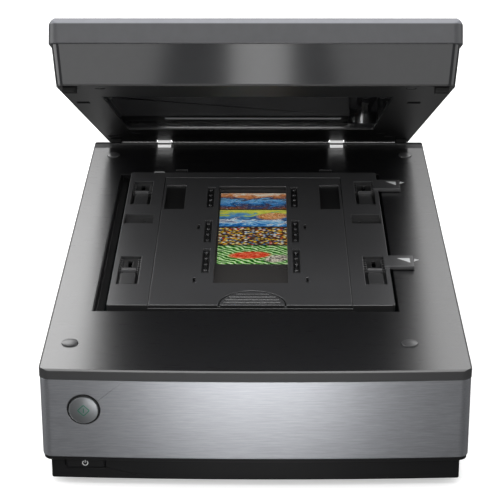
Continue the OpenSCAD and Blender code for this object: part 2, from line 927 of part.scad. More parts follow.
// Lock for carrying the scanner, which slides along a slot in the rear wall
module transport_lock() {
    w = lock_w;
    color(soft_black) {
        block([lock_x - w / 2, rear_y - wall - gap - cut, lock_z - lock_h / 2],
              [lock_x + w / 2, rear_y, lock_z + lock_h / 2]);
        block([lock_x - w, rear_y - wall - gap - 2, lock_z - lock_h],
              [lock_x + w, rear_y - wall - gap, lock_z + lock_h]);
    }
}

// ---------------------------------------------------------------- scan drive

module guide_rod() {
    color(bright_steel)
        rod_y(rod_x, rod_y0 + 1, rod_y1 - 1, rod_z, rod_dia / 2);
}

// Rail for the carriage's free end
module slide_rail() {
    foot_gap = (rod_y1 - from_front(38)) / 4;
    color(bright_steel) {
        block([rail_x, from_front(12), rail_z - rail_t], [rail_x + rail_w, rod_y1, rail_z]);
        for (i = [0 : 4])
            translate([rail_x + 2, from_front(20) + i * foot_gap, floor_z])
                cube([rail_w - 4, 6, rail_z - rail_t - floor_z]);
    }
}

module drive_belt() {
    color(soft_black)
        belt_loop(belt_x, belt_y0, belt_y1, belt_z + 1.5, pulley_r);
}

// Stepping motor on its seat, shaft upwards
module scan_motor() {
    color(bright_steel)
        translate([belt_x, belt_y1, floor_z + 2]) {
            cylinder(d = motor_dia, h = belt_z - floor_z - 6);
            cylinder(r = shaft_r, h = belt_z + pulley_h - floor_z);
            translate([-motor_dia / 2 - 4, -5, belt_z - floor_z - 8])
                cube([motor_dia + 8, 10, 1.5]);
        }
}

// Bracket with the idler's pin
module idler_bracket() {
    color(bright_steel)
        translate([belt_x, belt_y0, belt_z - 5]) {
            translate([-12, -8, 0])
                cube([24, 24, 2]);
            cylinder(r = shaft_r, h = 5 + pulley_h + 2);
            cylinder(r = shaft_r + 2, h = 5 - gap);
        }
}

module scan_pulley() {
    color("white")
        translate([belt_x, belt_y1, belt_z])
            pulley(pulley_r, pulley_h, shaft_r + running);
}

module scan_idler() {
    color("white")
        translate([belt_x, belt_y0, belt_z])
            pulley(pulley_r, pulley_h, shaft_r + running);
}

// ---------------------------------------------------------------- scan carriage

carriage_x = -6;
carriage_x0 = carriage_x - carriage_w / 2;
carriage_x1 = carriage_x + carriage_w / 2;
bush_r = rod_dia / 2 + 2.5;
bush_l = 12;

// Carriage body with its slit, the boss on the rod, the belt clamp and the rail shoe
module scan_carriage() {
    strand_x = belt_x - pulley_r - gap - belt_t / 2;
    clamp_z = belt_z + 1.5;
    color(black_plastic)
        difference() {
            union() {
                difference() {
                    block([carriage_x0, carriage_y0, carriage_bottom],
                          [carriage_x1, carriage_y1, carriage_top]);
                    block([carriage_x0 + 2.5, carriage_y0 + 2.5, carriage_bottom - cut],
                          [carriage_x1 - 2.5, carriage_y1 - 2.5, carriage_top - 2.5]);
                }
                block([rod_x - 11, carriage_y0, rod_z - bush_r - 3],
                      [rod_x + 11, carriage_y1, carriage_bottom + 4]);
                block([strand_x - 5, carriage_y - 12, clamp_z - 1.5],
                      [strand_x + 5, carriage_y + 12, carriage_bottom + 4]);
                block([strand_x - 1, carriage_y0, carriage_bottom + 1],
                      [strand_x + 1, carriage_y1, carriage_bottom + 4]);
                block([rail_x, carriage_y - 10, rail_z + gap],
                      [rail_x + rail_w - 5, carriage_y + 10, carriage_bottom + 4]);
            }
            // slit over the optics
            block([carriage_x0 + 8, carriage_y - 2, carriage_top - 4],
                  [carriage_x1 - 8, carriage_y + 2, carriage_top + cut]);
            // seats of the two lamps
            for (s = [-1, 1])
                block([carriage_x0 + 8, carriage_y + s * 9 - 4, carriage_top - 1.5],
                      [carriage_x1 - 8, carriage_y + s * 9 + 4, carriage_top + cut]);
            rod_y(rod_x, carriage_y0 - cut, carriage_y1 + cut, rod_z, rod_dia / 2 + 1);
            for (y = [carriage_y0 - cut, carriage_y1 - bush_l])
                rod_y(rod_x, y, y + bush_l + cut, rod_z, bush_r + running);
            block([strand_x - belt_t / 2 - gap, carriage_y - 13, clamp_z - gap],
                  [strand_x + belt_t / 2 + gap, carriage_y + 13, clamp_z + belt_h + gap]);
        }
}

module carriage_bushes() {
    color("goldenrod")
        for (y = [carriage_y0, carriage_y1 - bush_l])
            difference() {
                rod_y(rod_x, y, y + bush_l, rod_z, bush_r);
                rod_y(rod_x, y - cut, y + bush_l + cut, rod_z, rod_dia / 2 + running);
            }
}

module scan_lamp() {
    color("white")
        for (s = [-1, 1])
            block([carriage_x0 + 9, carriage_y + s * 9 - 3.5, carriage_top - 1.5],
                  [carriage_x1 - 9, carriage_y + s * 9 + 3.5, carriage_top + 0.5]);
}

// Three long mirrors that fold the light path
module scan_mirrors() {
    color("silver")
        for (m = [[-18, 12, 45], [18, 22, -45], [-14, 26, 60]])
            translate([carriage_x0 + 2.5, carriage_y + m[0], carriage_bottom + m[1] - 4])
                rotate([m[2], 0, 0])
                    cube([carriage_w - 5, 1.5, 9]);
}

// The two lenses, one behind the other, in one holder
module lens_pair() {
    color(soft_black)
        for (x = [rod_x + 24, rod_x + 44])
            difference() {
                union() {
                    rod_y(x, carriage_y - 12, carriage_y + 8, carriage_bottom + 10, 8);
                    block([x - 9, carriage_y - 8, carriage_bottom],
                          [x + 9, carriage_y + 4, carriage_bottom + 6]);
                }
                rod_y(x, carriage_y + 6, carriage_y + 9, carriage_bottom + 10, 6);
            }
}

// Board closing the carriage from below, with the line sensor
module sensor_board() {
    color(board_green)
        difference() {
            block([rod_x + 11, carriage_y0, carriage_bottom - board_t],
                  [carriage_x1 - 6, carriage_y1, carriage_bottom]);
            block([belt_x - 14, carriage_y - 12 - gap, carriage_bottom - board_t - cut],
                  [belt_x - 1, carriage_y + 12 + gap, carriage_bottom + cut]);
        }
}

// ---------------------------------------------------------------- hinge

post_y0 = pivot_y - post_d / 2;
post_hold = 14;
post_len = pivot_up + plate_t + post_lift + post_hold;

// Two posts that carry the lid's hinge line and slide up out of their sockets
module hinge_posts() {
    color(bright_steel)
        for (x = post_xs)
            translate([x - post_w / 2, pivot_y, pivot_z])
                rotate([90, 0, 90])
                    linear_extrude(height = post_w)
                        difference() {
                            union() {
                                circle(r = head_r);
                                translate([-post_d / 2, -post_len])
                                    square([post_d, post_len]);
                            }
                            circle(r = pin_dia / 2 + running);
                        }
}

socket_w = post_w + 2 * gap + 4;

// Channels under the top surface in which the posts slide
module hinge_sockets() {
    z0 = pivot_z - post_len - 4;
    color(black_plastic)
        for (x = post_xs)
            difference() {
                block([x - socket_w / 2, post_y0 - gap - 2, z0],
                      [x + socket_w / 2, post_y0 + post_d + gap + 2, base_h - plate_t]);
                block([x - post_w / 2 - gap, post_y0 - gap, z0 - cut],
                      [x + post_w / 2 + gap, post_y0 + post_d + gap, base_h]);
            }
}

pin_l = 2 * (slot_half + ear_t) - 1;

module hinge_pins() {
    color(bright_steel)
        on_lid()
            for (x = post_xs)
                rod_x(x - pin_l / 2, x + pin_l / 2, 0, axle_z, pin_dia / 2);
}

// ---------------------------------------------------------------- lid housings

// The lid's outline as a thin layer at height z, of width w, drawn in at the front
module lid_layer(w, front_in, rear_in, z, h, r) {
    d = lid_reach + lid_tail - front_in - rear_in;
    translate([0, (lid_tail - rear_in - lid_reach + front_in) / 2, z])
        slab(w, d, h, r);
}

// Lower case of the lid: a tapered tub with the window's recess and the hinge pockets
module lid_case() {
    layer = 0.1;
    color(shell_grey)
        on_lid()
            difference() {
                union() {
                    difference() {
                        hull() {
                            lid_layer(lid_under_w, 2, 0.5, 0, layer, lid_corner_r);
                            lid_layer(lid_case_w, 0.8, 0, lid_case_h - layer, layer, lid_corner_r);
                        }
                        hull() {
                            lid_layer(lid_under_w - 2 * wall, 2 + wall, 0.5 + wall, plate_t, layer,
                                      lid_corner_r - wall);
                            lid_layer(lid_case_w - 2 * wall, 0.8 + wall, wall, lid_case_h, layer,
                                      lid_corner_r - wall);
                        }
                    }
                    // rim that carries the window pane
                    block([window_x0 - window_rim, window_y0 - window_rim, 0],
                          [window_x1 + window_rim, window_y1 + window_rim, rim_top]);
                    for (x = post_xs)
                        block([x - slot_half - ear_t, -head_room - 3, 0],
                              [x + slot_half + ear_t, lid_tail - wall / 2, axle_z + head_room + 3]);
                    // floor behind the slanted edge
                    rotate([90, 0, 90])
                        translate([0, 0, -lid_under_w / 2 + wall])
                            linear_extrude(height = lid_under_w - 2 * wall)
                                polygon([
                                    [tail_foot - wall, plate_t / 2],
                                    [lid_tail - wall, tail_head],
                                    [lid_tail - wall, tail_head + plate_t],
                                    [tail_foot - wall, plate_t * 1.5],
                                ]);
                    for (y = [lid_rod_y0, lid_rod_y1 - 8])
                        block([lid_rod_x - 5, y, plate_t - cut], [lid_rod_x + 5, y + 8, lid_rod_z + 6]);
                    for (p = lid_screw_points)
                        translate([p[0], p[1], plate_t - cut])
                            cylinder(r = 4, h = lid_case_h - plate_t + cut);
                }
                block([window_x0, window_y0, -cut], [window_x1, window_y1, window_deep + cut]);
                block([window_x0 - window_lap, window_y0 - window_lap, window_deep],
                      [window_x1 + window_lap, window_y1 + window_lap, rim_top + cut]);
                // slanted rear edge that clears the base as the lid opens
                rotate([90, 0, 90])
                    translate([0, 0, -lid_w])
                        linear_extrude(height = 2 * lid_w)
                            polygon([
                                [tail_foot, -cut], [tail_foot, 0], [lid_tail, tail_head],
                                [lid_tail + 10, tail_head], [lid_tail + 10, -cut],
                            ]);
                for (x = post_xs) {
                    block([x - slot_half, -head_room, -cut],
                          [x + slot_half, lid_tail + cut, axle_z + head_room]);
                    rod_x(x - slot_half - ear_t - cut, x + slot_half + ear_t + cut, 0, axle_z,
                          pin_dia / 2 + running);
                }
                rod_y(lid_rod_x, lid_rod_y0 - cut, lid_rod_y1 + cut, lid_rod_z,
                      lid_rod_dia / 2 + running);
                for (p = lid_screw_points)
                    translate([p[0], p[1], -cut]) {
                        cylinder(r = screw_r + 0.2, h = lid_case_h + 2 * cut);
                        cylinder(r = 4, h = cut + 2);
                    }
                // openings for the catches of a document mat
                for (s = [-1, 1], y = [-lid_reach + 111, -50])
                    translate([window_x + s * 125 - 5, y - 7, -cut])
                        cube([10, 14, plate_t + 2 * cut]);
            }
}

// The rear edge keeps to a circle round the hinge line that clears the top surface
tail_r = pivot_up - 0.5;
tail_foot = sqrt(tail_r * tail_r - axle_z * axle_z);
tail_head = axle_z - tail_r * sin(90 - lid_open - 22);
lid_rod_y0 = window_y0 - 20;
lid_rod_y1 = window_y1 + 14;
lid_screw_points = [
    for (s = [-1, 1], y = [-lid_reach + 18, window_y1 + 34])
        [s * (lid_under_w / 2 - 30), y]
];

// Top cover of the lid: a shallow pan with bevelled edges
module lid_top_cover() {
    b = lid_bevel;
    rb = lid_rear_bevel;
    y0 = -lid_reach;
    y1 = lid_tail + 1.4;
    z0 = lid_case_h;
    color("#4a4d52")
        on_lid()
            difference() {
                intersection() {
                    translate([0, (y0 + y1) / 2, z0])
                        slab(lid_w, y1 - y0, lid_cap_h, lid_corner_r + 1);
                    rotate([90, 0, 0])
                        translate([0, 0, -lid_tail - 10])
                            linear_extrude(height = lid_reach + lid_tail + 20)
                                polygon([
                                    [-lid_w / 2, z0], [lid_w / 2, z0], [lid_w / 2, lid_t - b],
                                    [lid_w / 2 - b, lid_t], [b - lid_w / 2, lid_t],
                                    [-lid_w / 2, lid_t - b],
                                ]);
                    rotate([90, 0, 90])
                        translate([0, 0, -lid_w])
                            linear_extrude(height = 2 * lid_w)
                                polygon([
                                    [y0, z0], [y1, z0], [y1, lid_t - rb], [y1 - rb, lid_t],
                                    [y0 + b, lid_t], [y0, lid_t - b],
                                ]);
                }
                translate([0, (y0 + y1) / 2, z0 - cut])
                    slab(lid_w - 2 * wall - 1, y1 - y0 - 2 * wall - 1, lid_cap_h - rb + cut,
                         lid_corner_r - wall + 1);
                translate([0, (y0 + y1) / 2, z0 + lid_cap_h - rb - cut])
                    slab(lid_w - 2 * wall - 2 * b, y1 - y0 - 2 * wall - 2 * rb, rb - plate_t + cut,
                         lid_corner_r - wall + 1);
            }
}

module lid_window() {
    color("#303438", 0.5)
        on_lid()
            block([window_x0 - window_lap + running, window_y0 - window_lap + running, window_deep],
                  [window_x1 + window_lap - running, window_y1 + window_lap - running, window_top]);
}

pad_h = lid_gap - cap_rise - gap;

// Rubber pads under the lid's front corners and beside its hinge
module lid_pads() {
    x = lid_under_w / 2 - 9;
    color(soft_black)
        on_lid()
            for (s = [-1, 1], y = [-lid_reach + 12, -20])
                translate([s * x, y, -pad_h])
                    difference() {
                        slab(pad_size, pad_size, pad_h, 1.5);
                        translate([0, 0, -cut])
                            slab(pad_size - 5, pad_size - 5, cut + 0.8, 1);
                    }
}

module lid_screws() {
    color(bright_steel)
        on_lid()
            for (p = lid_screw_points)
                translate([p[0], p[1], 0.4])
                    screw(6.4, 1.6, screw_r * 2, lid_case_h - 2);
}

// ---------------------------------------------------------------- lid drive

module lid_rod() {
    color(bright_steel)
        on_lid()
            rod_y(lid_rod_x, lid_rod_y0 + 0.5, lid_rod_y1 - 0.5, lid_rod_z, lid_rod_dia / 2);
}

module lid_belt() {
    color(soft_black)
        on_lid()
            belt_loop(lid_belt_x, lid_belt_y0, lid_belt_y1, lid_belt_z + 1.5, lid_pulley_r);
}

// Motor behind the window, standing on the case's floor
module lid_motor() {
    color(bright_steel)
        on_lid()
            translate([lid_belt_x, lid_belt_y1, plate_t + 0.1]) {
                cylinder(d = 26, h = lid_belt_z - plate_t - 1);
                cylinder(r = 2, h = lid_belt_z + belt_h + 4 - plate_t);
            }
}

module lid_pulley() {
    color("white")
        on_lid()
            translate([lid_belt_x, lid_belt_y1, lid_belt_z])
                pulley(lid_pulley_r, belt_h + 3, 2 + running);
}

module lid_idler() {
    color("white")
        on_lid()
            translate([lid_belt_x, lid_belt_y0, lid_belt_z])
                pulley(lid_pulley_r, belt_h + 3, 2 + running);
}

// Plate under the lid's top that carries the lamp's leads, and the idler's arm and the
// spring's pins on the window's rim
module lid_board() {
    z = rim_top;
    plate_z = lamp_z1 + 4;
    color(bright_steel)
        on_lid() {
            translate([lead_plate[0], window_y0 - 2, plate_z])
                cube([lead_plate[1], lead_plate[2], board_t]);
            for (x = [4, lead_plate[1] - 4], y = [4, lead_plate[2] - 8])
                translate([lead_plate[0] + x, window_y0 + y, plate_z])
                    cylinder(r = 2.5, h = lid_t - plate_t - plate_z);
            block([lid_belt_x - 7, window_y0 - window_rim, z],
                  [lid_belt_x + 7, window_y0 + 14, z + board_t]);
            translate([lid_belt_x, lid_belt_y0, z])
                cylinder(r = 2, h = lid_belt_z + belt_h + 4 - z);
            translate([lid_belt_x, lid_belt_y0, z])
                cylinder(r = 4, h = lid_belt_z - gap - z);
            translate([spring_x, window_y0 - 2, z])
                cylinder(r = 1.2, h = 6);
            translate([spring_x + spring_l, window_y0 - 2, z])
                cylinder(r = 1.2, h = 6);
        }
}

lead_plate = [-84, 26, 46];
spring_x = 48;
spring_l = 30;
spring_r = 2.2;
wire_r = 0.45;
spring_turns = 10;

// Small drawn spring between two posts on the rim
module lid_spring() {
    rings = spring_turns * 8;
    sides = 6;
    span = spring_l - 2.4 - 2 * running;
    function centre(i) = [
        spring_x + 1.2 + running + span * i / rings,
        window_y0 - 2 + spring_r * cos(i * 45),
        rim_top + 3.5 + spring_r * sin(i * 45),
    ];
    function ring(i) = [
        for (j = [0 : sides - 1])
            let (a = j * 360 / sides, out = [0, cos(i * 45), sin(i * 45)])
                centre(i) + wire_r * (cos(a) * out + sin(a) * [1, 0, 0])
    ];
    points = [for (i = [0 : rings]) each ring(i)];
    skin = [
        for (i = [0 : rings - 1], j = [0 : sides - 1])
            let (k = (j + 1) % sides, a = i * sides, b = a + sides)
                each [[a + j, b + j, b + k], [a + j, b + k, a + k]]
    ];
    caps = [
        for (j = [1 : sides - 2])
            each [[0, j, j + 1], [rings * sides, rings * sides + j + 1, rings * sides + j]]
    ];
    color(bright_steel)
        on_lid()
            polyhedron(points = points, faces = concat(skin, caps), convexity = 8);
}

lamp_x0 = -133;
lamp_x1 = 78;
lamp_z0 = rim_top + 1;
lamp_z1 = 32;

// Lamp carriage on its rod, with a clamp on the belt and a shoe on the rim
module lamp_carriage() {
    mid = (lamp_y0 + lamp_y1) / 2;
    strand_x = lid_belt_x - lid_pulley_r - gap - belt_t / 2;
    shoe_x = window_x1 + window_lap;
    color(black_plastic)
        on_lid()
            difference() {
                union() {
                    block([lamp_x0, lamp_y0, lamp_z0], [lamp_x1, lamp_y1, lamp_z1]);
                    block([lamp_x1 - cut, mid - 8, lid_belt_z], [strand_x + 3, mid + 8, lamp_z1]);
                    block([lamp_x1 - cut, mid - 8, lid_belt_z + belt_h + 6],
                          [shoe_x + 2, mid + 8, lamp_z1]);
                    block([shoe_x + gap, mid - 8, rim_top + gap], [shoe_x + 2, mid + 8, lamp_z1]);
                }
                rod_y(lid_rod_x, lamp_y0 - cut, lamp_y1 + cut, lid_rod_z, lid_rod_dia / 2 + running);
                block([strand_x - belt_t / 2 - gap, mid - 9, lid_belt_z + 1.5 - gap],
                      [strand_x + belt_t / 2 + gap, mid + 9, lid_belt_z + 1.5 + belt_h + gap]);
                // seat of the lamp
                block([-80, mid - 9, lamp_z0 - cut], [72, mid + 9, lamp_z0 + 4]);
                // hollow above
                block([lid_rod_x + 12, lamp_y0 + 3, lamp_z0 + 8], [lamp_x1 - 3, lamp_y1 - 3, lamp_z1 + cut]);
            }
}

module lid_lamp() {
    mid = (lamp_y0 + lamp_y1) / 2;
    color("white")
        on_lid()
            block([-79.5, mid - 8.5, lamp_z0 + 0.4], [71.5, mid + 8.5, lamp_z0 + 4]);
}

// ---------------------------------------------------------------- film holder

// Frame of the film holder: tray for the cover, film window, adjuster pockets,
// side notches, side tabs
module film_holder() {
    cover_half = cover_w / 2;
    color(holder_grey)
        difference() {
            union() {
                translate([holder_x, holder_y0 + holder_d / 2, holder_z])
                    slab(holder_w, holder_d, holder_t, 1.5);
                for (y = tab_ys)
                    block([holder_x1 - 4, y, base_h + gap],
                          [holder_x1 + tab_reach, y + tab_d, base_h + 3.8]);
            }
            // tray for the cover
            block([cover_mid - cover_half - gap, cover_y0 - cut, tray_z],
                  [cover_mid + cover_half + gap, hinge_y, holder_top + cut]);
            block([cover_mid - cover_half - gap, hinge_y - cut, tray_z],
                  [cover_mid + cover_half + gap, cover_y1 + gap, holder_top + cut]);
            rod_x(cover_mid - cover_half - gap - cover_pin_l, cover_mid + cover_half + gap + cover_pin_l,
                  hinge_y, hinge_z, cover_pin_r + running);
            // film window with the seat of the clear plate
            block([cover_mid - film_window_w / 2, film_y0, holder_z - cut],
                  [cover_mid + film_window_w / 2, film_y1, holder_top]);
            block([cover_mid - film_window_w / 2 - film_lap, film_y0 - film_lap, support_z],
                  [cover_mid + film_window_w / 2 + film_lap, film_y1 + film_lap, holder_top]);
            for (x = adjuster_xs, y = adjuster_ys)
                adjuster_pocket(x, y);
            // finger notches, each with a small hole in its floor
            for (s = [-1, 1])
                translate([holder_x + s * (holder_w / 2 - 1.4 - notch_w / 2), notch_y, holder_z]) {
                    translate([-notch_w / 2, 0, notch_floor])
                        cube([notch_w, notch_d, holder_t]);
                    translate([-s * 5, notch_d * 0.57, -cut])
                        cylinder(r = 1, h = holder_t, $fn = 24);
                }
        }
}

notch_y = holder_y0 + holder_d * 0.576;
notch_floor = 2;
tab_ys = [holder_y0 + 71.5, holder_y1 - 44.8];

// Pocket of one height adjuster: comb ribs beside the slider's lane and a slot
module adjuster_pocket(x, y) {
    half = adjuster_w / 2;
    lane = 6.1;
    difference() {
        block([x - half, y - adjuster_d / 2, holder_top - pocket_deep],
              [x + half, y + adjuster_d / 2, holder_top + cut]);
        for (i = [0 : 4], s = [-1, 1])
            block([x + (s > 0 ? lane : -half - cut), y + 4 + i * 4.6, holder_top - pocket_deep - cut],
                  [x + (s > 0 ? half + cut : -lane), y + 6.2 + i * 4.6, holder_top - 1]);
    }
    block([x - 1.6, y + adjuster_d / 2 - 16, holder_z - cut],
          [x + 1.6, y + adjuster_d / 2 - 3, holder_top]);
    // slot that the slider's foot passes through
    foot_y = y - adjuster_d / 2 + adjuster_foot_y;
    block([x - adjuster_foot_w / 2 - gap, foot_y - gap, holder_z - cut],
          [x + adjuster_foot_w / 2 + gap, foot_y + adjuster_foot_d + adjuster_travel + gap, holder_top]);
}

adjuster_travel = 9;
adjuster_foot_w = 5;
adjuster_foot_d = 8;
adjuster_foot_y = 5;

// Slider of one height adjuster: a pad, a raised grip with grooves and the foot that
// holds the film holder above the glass
module adjuster(x, y) {
    z = holder_top - pocket_deep + gap;
    y0 = y - adjuster_d / 2 + 1.5;
    foot_y = y - adjuster_d / 2 + adjuster_foot_y;
    color(black_plastic)
        difference() {
            union() {
                block([x - 5.7, y0, z], [x + 5.7, y0 + 21, holder_top - 0.5]);
                block([x - 4.6, y0 + 20, z], [x + 4.6, y0 + 27, holder_top - 1]);
                block([x - 5.7, y0 + 23, z], [x + 5.7, y0 + 28, holder_top + 1.2]);
                block([x - adjuster_foot_w / 2, foot_y, glass_z + gap],
                      [x + adjuster_foot_w / 2, foot_y + adjuster_foot_d, z + 1]);
            }
            for (i = [0, 1])
                translate([x - 6, y0 + 24.2 + i * 1.8, holder_top + 0.6])
                    cube([12, 0.8, cut]);
        }
}

module adjuster_front_left() {
    adjuster(adjuster_xs[0], adjuster_ys[0]);
}

module adjuster_front_right() {
    adjuster(adjuster_xs[1], adjuster_ys[0]);
}

module adjuster_rear_left() {
    adjuster(adjuster_xs[0], adjuster_ys[1]);
}

module adjuster_rear_right() {
    adjuster(adjuster_xs[1], adjuster_ys[1]);
}

// Clear plate that the film lies on
module film_support() {
    fit = film_lap - running;
    color("lightblue", 0.3)
        block([cover_mid - film_window_w / 2 - fit, film_y0 - fit, support_z],
              [cover_mid + film_window_w / 2 + fit, film_y1 + fit, support_z + support_t]);
}

// Strip of roll film
module film_strip() {
    color("#5a4630")
        block([cover_mid - film_w / 2, film_y0 - 1.5, film_z],
              [cover_mid + film_w / 2, film_y1 + 1.5, film_z + film_t]);
}

row_x = 36.2;
row_deep = 0.9;
recess_deep = 1.5;
row_w = 6;
row_d = film_window_d * 0.23;
row_ys = [for (t = [0.094, 0.39, 0.76]) film_y0 + film_window_d * t];
slot_ys = [film_y0 + 6, film_y0 + film_window_d * 0.55];

// Hinged cover over the film: window, rows of bumps, slots, shallow recesses and
// the ribbed finger tab
module film_cover() {
    half = cover_w / 2;
    pin_half = half + gap + cover_pin_l - 0.2;
    z = holder_top - cover_t;
    color(holder_grey)
        union() {
            difference() {
                union() {
                    block([cover_mid - half, cover_y0, z], [cover_mid + half, hinge_y, holder_top]);
                    rod_x(cover_mid - half, cover_mid + half, hinge_y, hinge_z, hinge_r);
                    rod_x(cover_mid - pin_half, cover_mid + pin_half, hinge_y, hinge_z, cover_pin_r);
                }
                block([cover_mid - film_window_w / 2, film_y0, z - cut],
                      [cover_mid + film_window_w / 2, film_y1, holder_top + cut]);
                for (s = [-1, 1], y = row_ys)
                    block([cover_mid + s * row_x - row_w / 2, y, holder_top - row_deep],
                          [cover_mid + s * row_x + row_w / 2, y + row_d, holder_top + cut]);
                for (s = [-1, 1], y = slot_ys)
                    block([cover_mid + s * 44.3 - 1, y - 5, z - cut],
                          [cover_mid + s * 44.3 + 1, y + 5, holder_top + cut]);
                for (s = [-1, 1])
                    block([cover_mid + s * 67 - 8.6, cover_y1 - 76.6, holder_top - recess_deep],
                          [cover_mid + s * 67 + 8.6, cover_y1 - 18.6, holder_top + cut]);
                finger_tab();
            }
            for (s = [-1, 1], y = row_ys, i = [0 : 3])
                translate([cover_mid + s * row_x, y + row_d * (0.13 + i * 0.245), z + cut / 2])
                    cylinder(r = 1.3, h = cover_t - cut / 2, $fn = 24);
        }
}

// Grooves of the finger tab: an arc and four straight grooves inside it
module finger_tab() {
    x = cover_mid + 1.5;
    for (i = [0 : 3])
        translate([x, cover_y0 + 3 + i * 5, holder_top - row_deep]) {
            reach = sqrt(pow(finger_r - 4, 2) - pow(3 + i * 5, 2));
            translate([-reach, 0, 0])
                cube([2 * reach, 2.6, 2]);
        }
    translate([x, cover_y0 + 1, holder_top - recess_deep])
        difference() {
            cylinder(r = finger_r, h = 2);
            translate([0, 0, -cut])
                cylinder(r = finger_r - 1.4, h = 4);
            translate([-finger_r - 2, -finger_r - 4, -cut])
                cube([2 * finger_r + 4, finger_r + 2, 5]);
        }
}

// ---------------------------------------------------------------- drawing

base_tray();
rubber_feet();
top_cover();
front_panel();
start_ring();
platen_frame();
platen_glass();
top_caps();
calibration_strip();
tray_screws();
main_board();
usb_socket();
power_inlet();
lid_socket();
button_board();
scan_motor();
guide_rod();
slide_rail();
drive_belt();
idler_bracket();
hinge_sockets();
scan_pulley();
scan_idler();
scan_carriage();
carriage_bushes();
scan_lamp();
scan_mirrors();
lens_pair();
sensor_board();
start_button();
power_button();
transport_lock();
hinge_posts();
lid_case();
lid_top_cover();
lid_window();
hinge_pins();
lid_pads();
lid_screws();
lid_rod();
lid_belt();
lid_motor();
lid_board();
lid_spring();
lid_pulley();
lid_idler();
lamp_carriage();
lid_lamp();
film_holder();
film_support();
film_strip();
film_cover();
adjuster_front_left();
adjuster_front_right();
adjuster_rear_left();
adjuster_rear_right();
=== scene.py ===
"""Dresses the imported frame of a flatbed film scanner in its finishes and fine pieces."""

import json
import math

import bmesh
import bpy
import numpy as np
from bpy.props import FloatProperty, FloatVectorProperty, PointerProperty
from mathutils import Matrix, Vector

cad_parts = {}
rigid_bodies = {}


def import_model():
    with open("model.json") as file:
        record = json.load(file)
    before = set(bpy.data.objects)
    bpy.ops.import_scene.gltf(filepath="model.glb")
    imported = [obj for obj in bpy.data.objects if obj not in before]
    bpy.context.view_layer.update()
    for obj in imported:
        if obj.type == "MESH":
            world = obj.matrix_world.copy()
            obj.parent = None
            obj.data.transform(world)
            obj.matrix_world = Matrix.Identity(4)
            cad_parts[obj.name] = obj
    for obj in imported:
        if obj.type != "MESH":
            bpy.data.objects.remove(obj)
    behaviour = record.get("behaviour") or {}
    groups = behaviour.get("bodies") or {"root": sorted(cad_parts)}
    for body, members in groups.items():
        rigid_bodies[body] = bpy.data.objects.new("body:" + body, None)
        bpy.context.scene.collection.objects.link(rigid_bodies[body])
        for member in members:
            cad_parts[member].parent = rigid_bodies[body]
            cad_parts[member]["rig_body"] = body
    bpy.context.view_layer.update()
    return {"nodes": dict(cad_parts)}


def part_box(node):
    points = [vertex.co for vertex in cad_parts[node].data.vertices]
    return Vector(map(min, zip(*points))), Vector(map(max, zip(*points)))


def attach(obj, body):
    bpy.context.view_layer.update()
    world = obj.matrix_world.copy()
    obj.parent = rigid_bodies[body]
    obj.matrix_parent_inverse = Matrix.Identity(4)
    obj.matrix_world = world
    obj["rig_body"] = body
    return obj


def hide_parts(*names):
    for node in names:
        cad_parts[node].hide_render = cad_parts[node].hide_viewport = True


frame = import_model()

bl_info = {
    "name": "Film scanner looks",
    "version": (1, 0, 0),
    "blender": (4, 5, 0),
    "location": "View3D > Sidebar > Scanner",
    "description": "Finishes, symbols, film and studio for a flatbed film scanner",
    "category": "Object",
}

MM = 0.001
# Heights and places in mm that the CAD gives: the top surface with its shelf under the hinge
# and its rear edge, the film holder's upper face, and the lid's hinge line and tilt.
TOP = 96.0
SHELF_Y = 219.0
REAR_Y = 238.0
HOLDER_TOP = 98.0
HINGE_Y, HINGE_Z, HINGE_OVER_UNDERSIDE = 226.0, 118.0, 16.0
LID_TURN = math.radians(24.25)
LID_UP = (0.0, math.sin(LID_TURN), math.cos(LID_TURN))
LID_UNDER = (HINGE_Y * LID_UP[1] + HINGE_Z * LID_UP[2] - HINGE_OVER_UNDERSIDE) * MM
SHARP_ANGLE = math.radians(28)
SMOOTH_ANGLE = math.radians(35)


def colour(name, description, value):
    """A colour setting."""
    return FloatVectorProperty(name=name, description=description, subtype="COLOR", size=3,
                               min=0, max=1, default=value)


def length(name, description, value):
    """A length setting in metres, given in millimetres."""
    return FloatProperty(name=name, description=description, default=value * MM,
                         min=0, unit="LENGTH", precision=4)


class ScannerColours(bpy.types.PropertyGroup):
    """Base colours of the scanner's finishes."""
    shell: colour("Shell", "Dark semi-gloss top cover", (0.011, 0.011, 0.012))
    plinth: colour("Plinth", "Black moulded plinth and small parts", (0.005, 0.005, 0.0055))
    lid_case: colour("Lid case", "Lower case of the lid", (0.016, 0.0165, 0.018))
    lid_top: colour("Lid top", "Top cover of the lid", (0.056, 0.057, 0.062))
    panel: colour("Panel", "Brushed front panel", (0.33, 0.337, 0.357))
    holder: colour("Holder", "Film holder and its cover", (0.075, 0.075, 0.078))
    caps: colour("Caps", "Round caps on the top surface", (0.06, 0.06, 0.062))
    start: colour("Start button", "Silver start button", (0.30, 0.31, 0.32))
    start_symbol: colour("Start symbol", "Green of the start symbol", (0.0, 0.14, 0.08))


class ScannerSizes(bpy.types.PropertyGroup):
    """Sizes of the fine pieces."""
    edge: length("Edge rounding", "Rounding along the edges of the housings", 0.5)
    fine_edge: length("Fine rounding", "Rounding along the edges of the film holder", 0.35)
    stroke: length("Symbol stroke", "Width of the strokes of the symbols", 0.62)
    print_rise: length("Print rise", "How far printed marks stand proud", 0.06)
    start_symbol: length("Start symbol", "Half height of the start symbol", 4.2)
    standby_symbol: length("Standby symbol", "Radius of the standby symbol", 1.9)


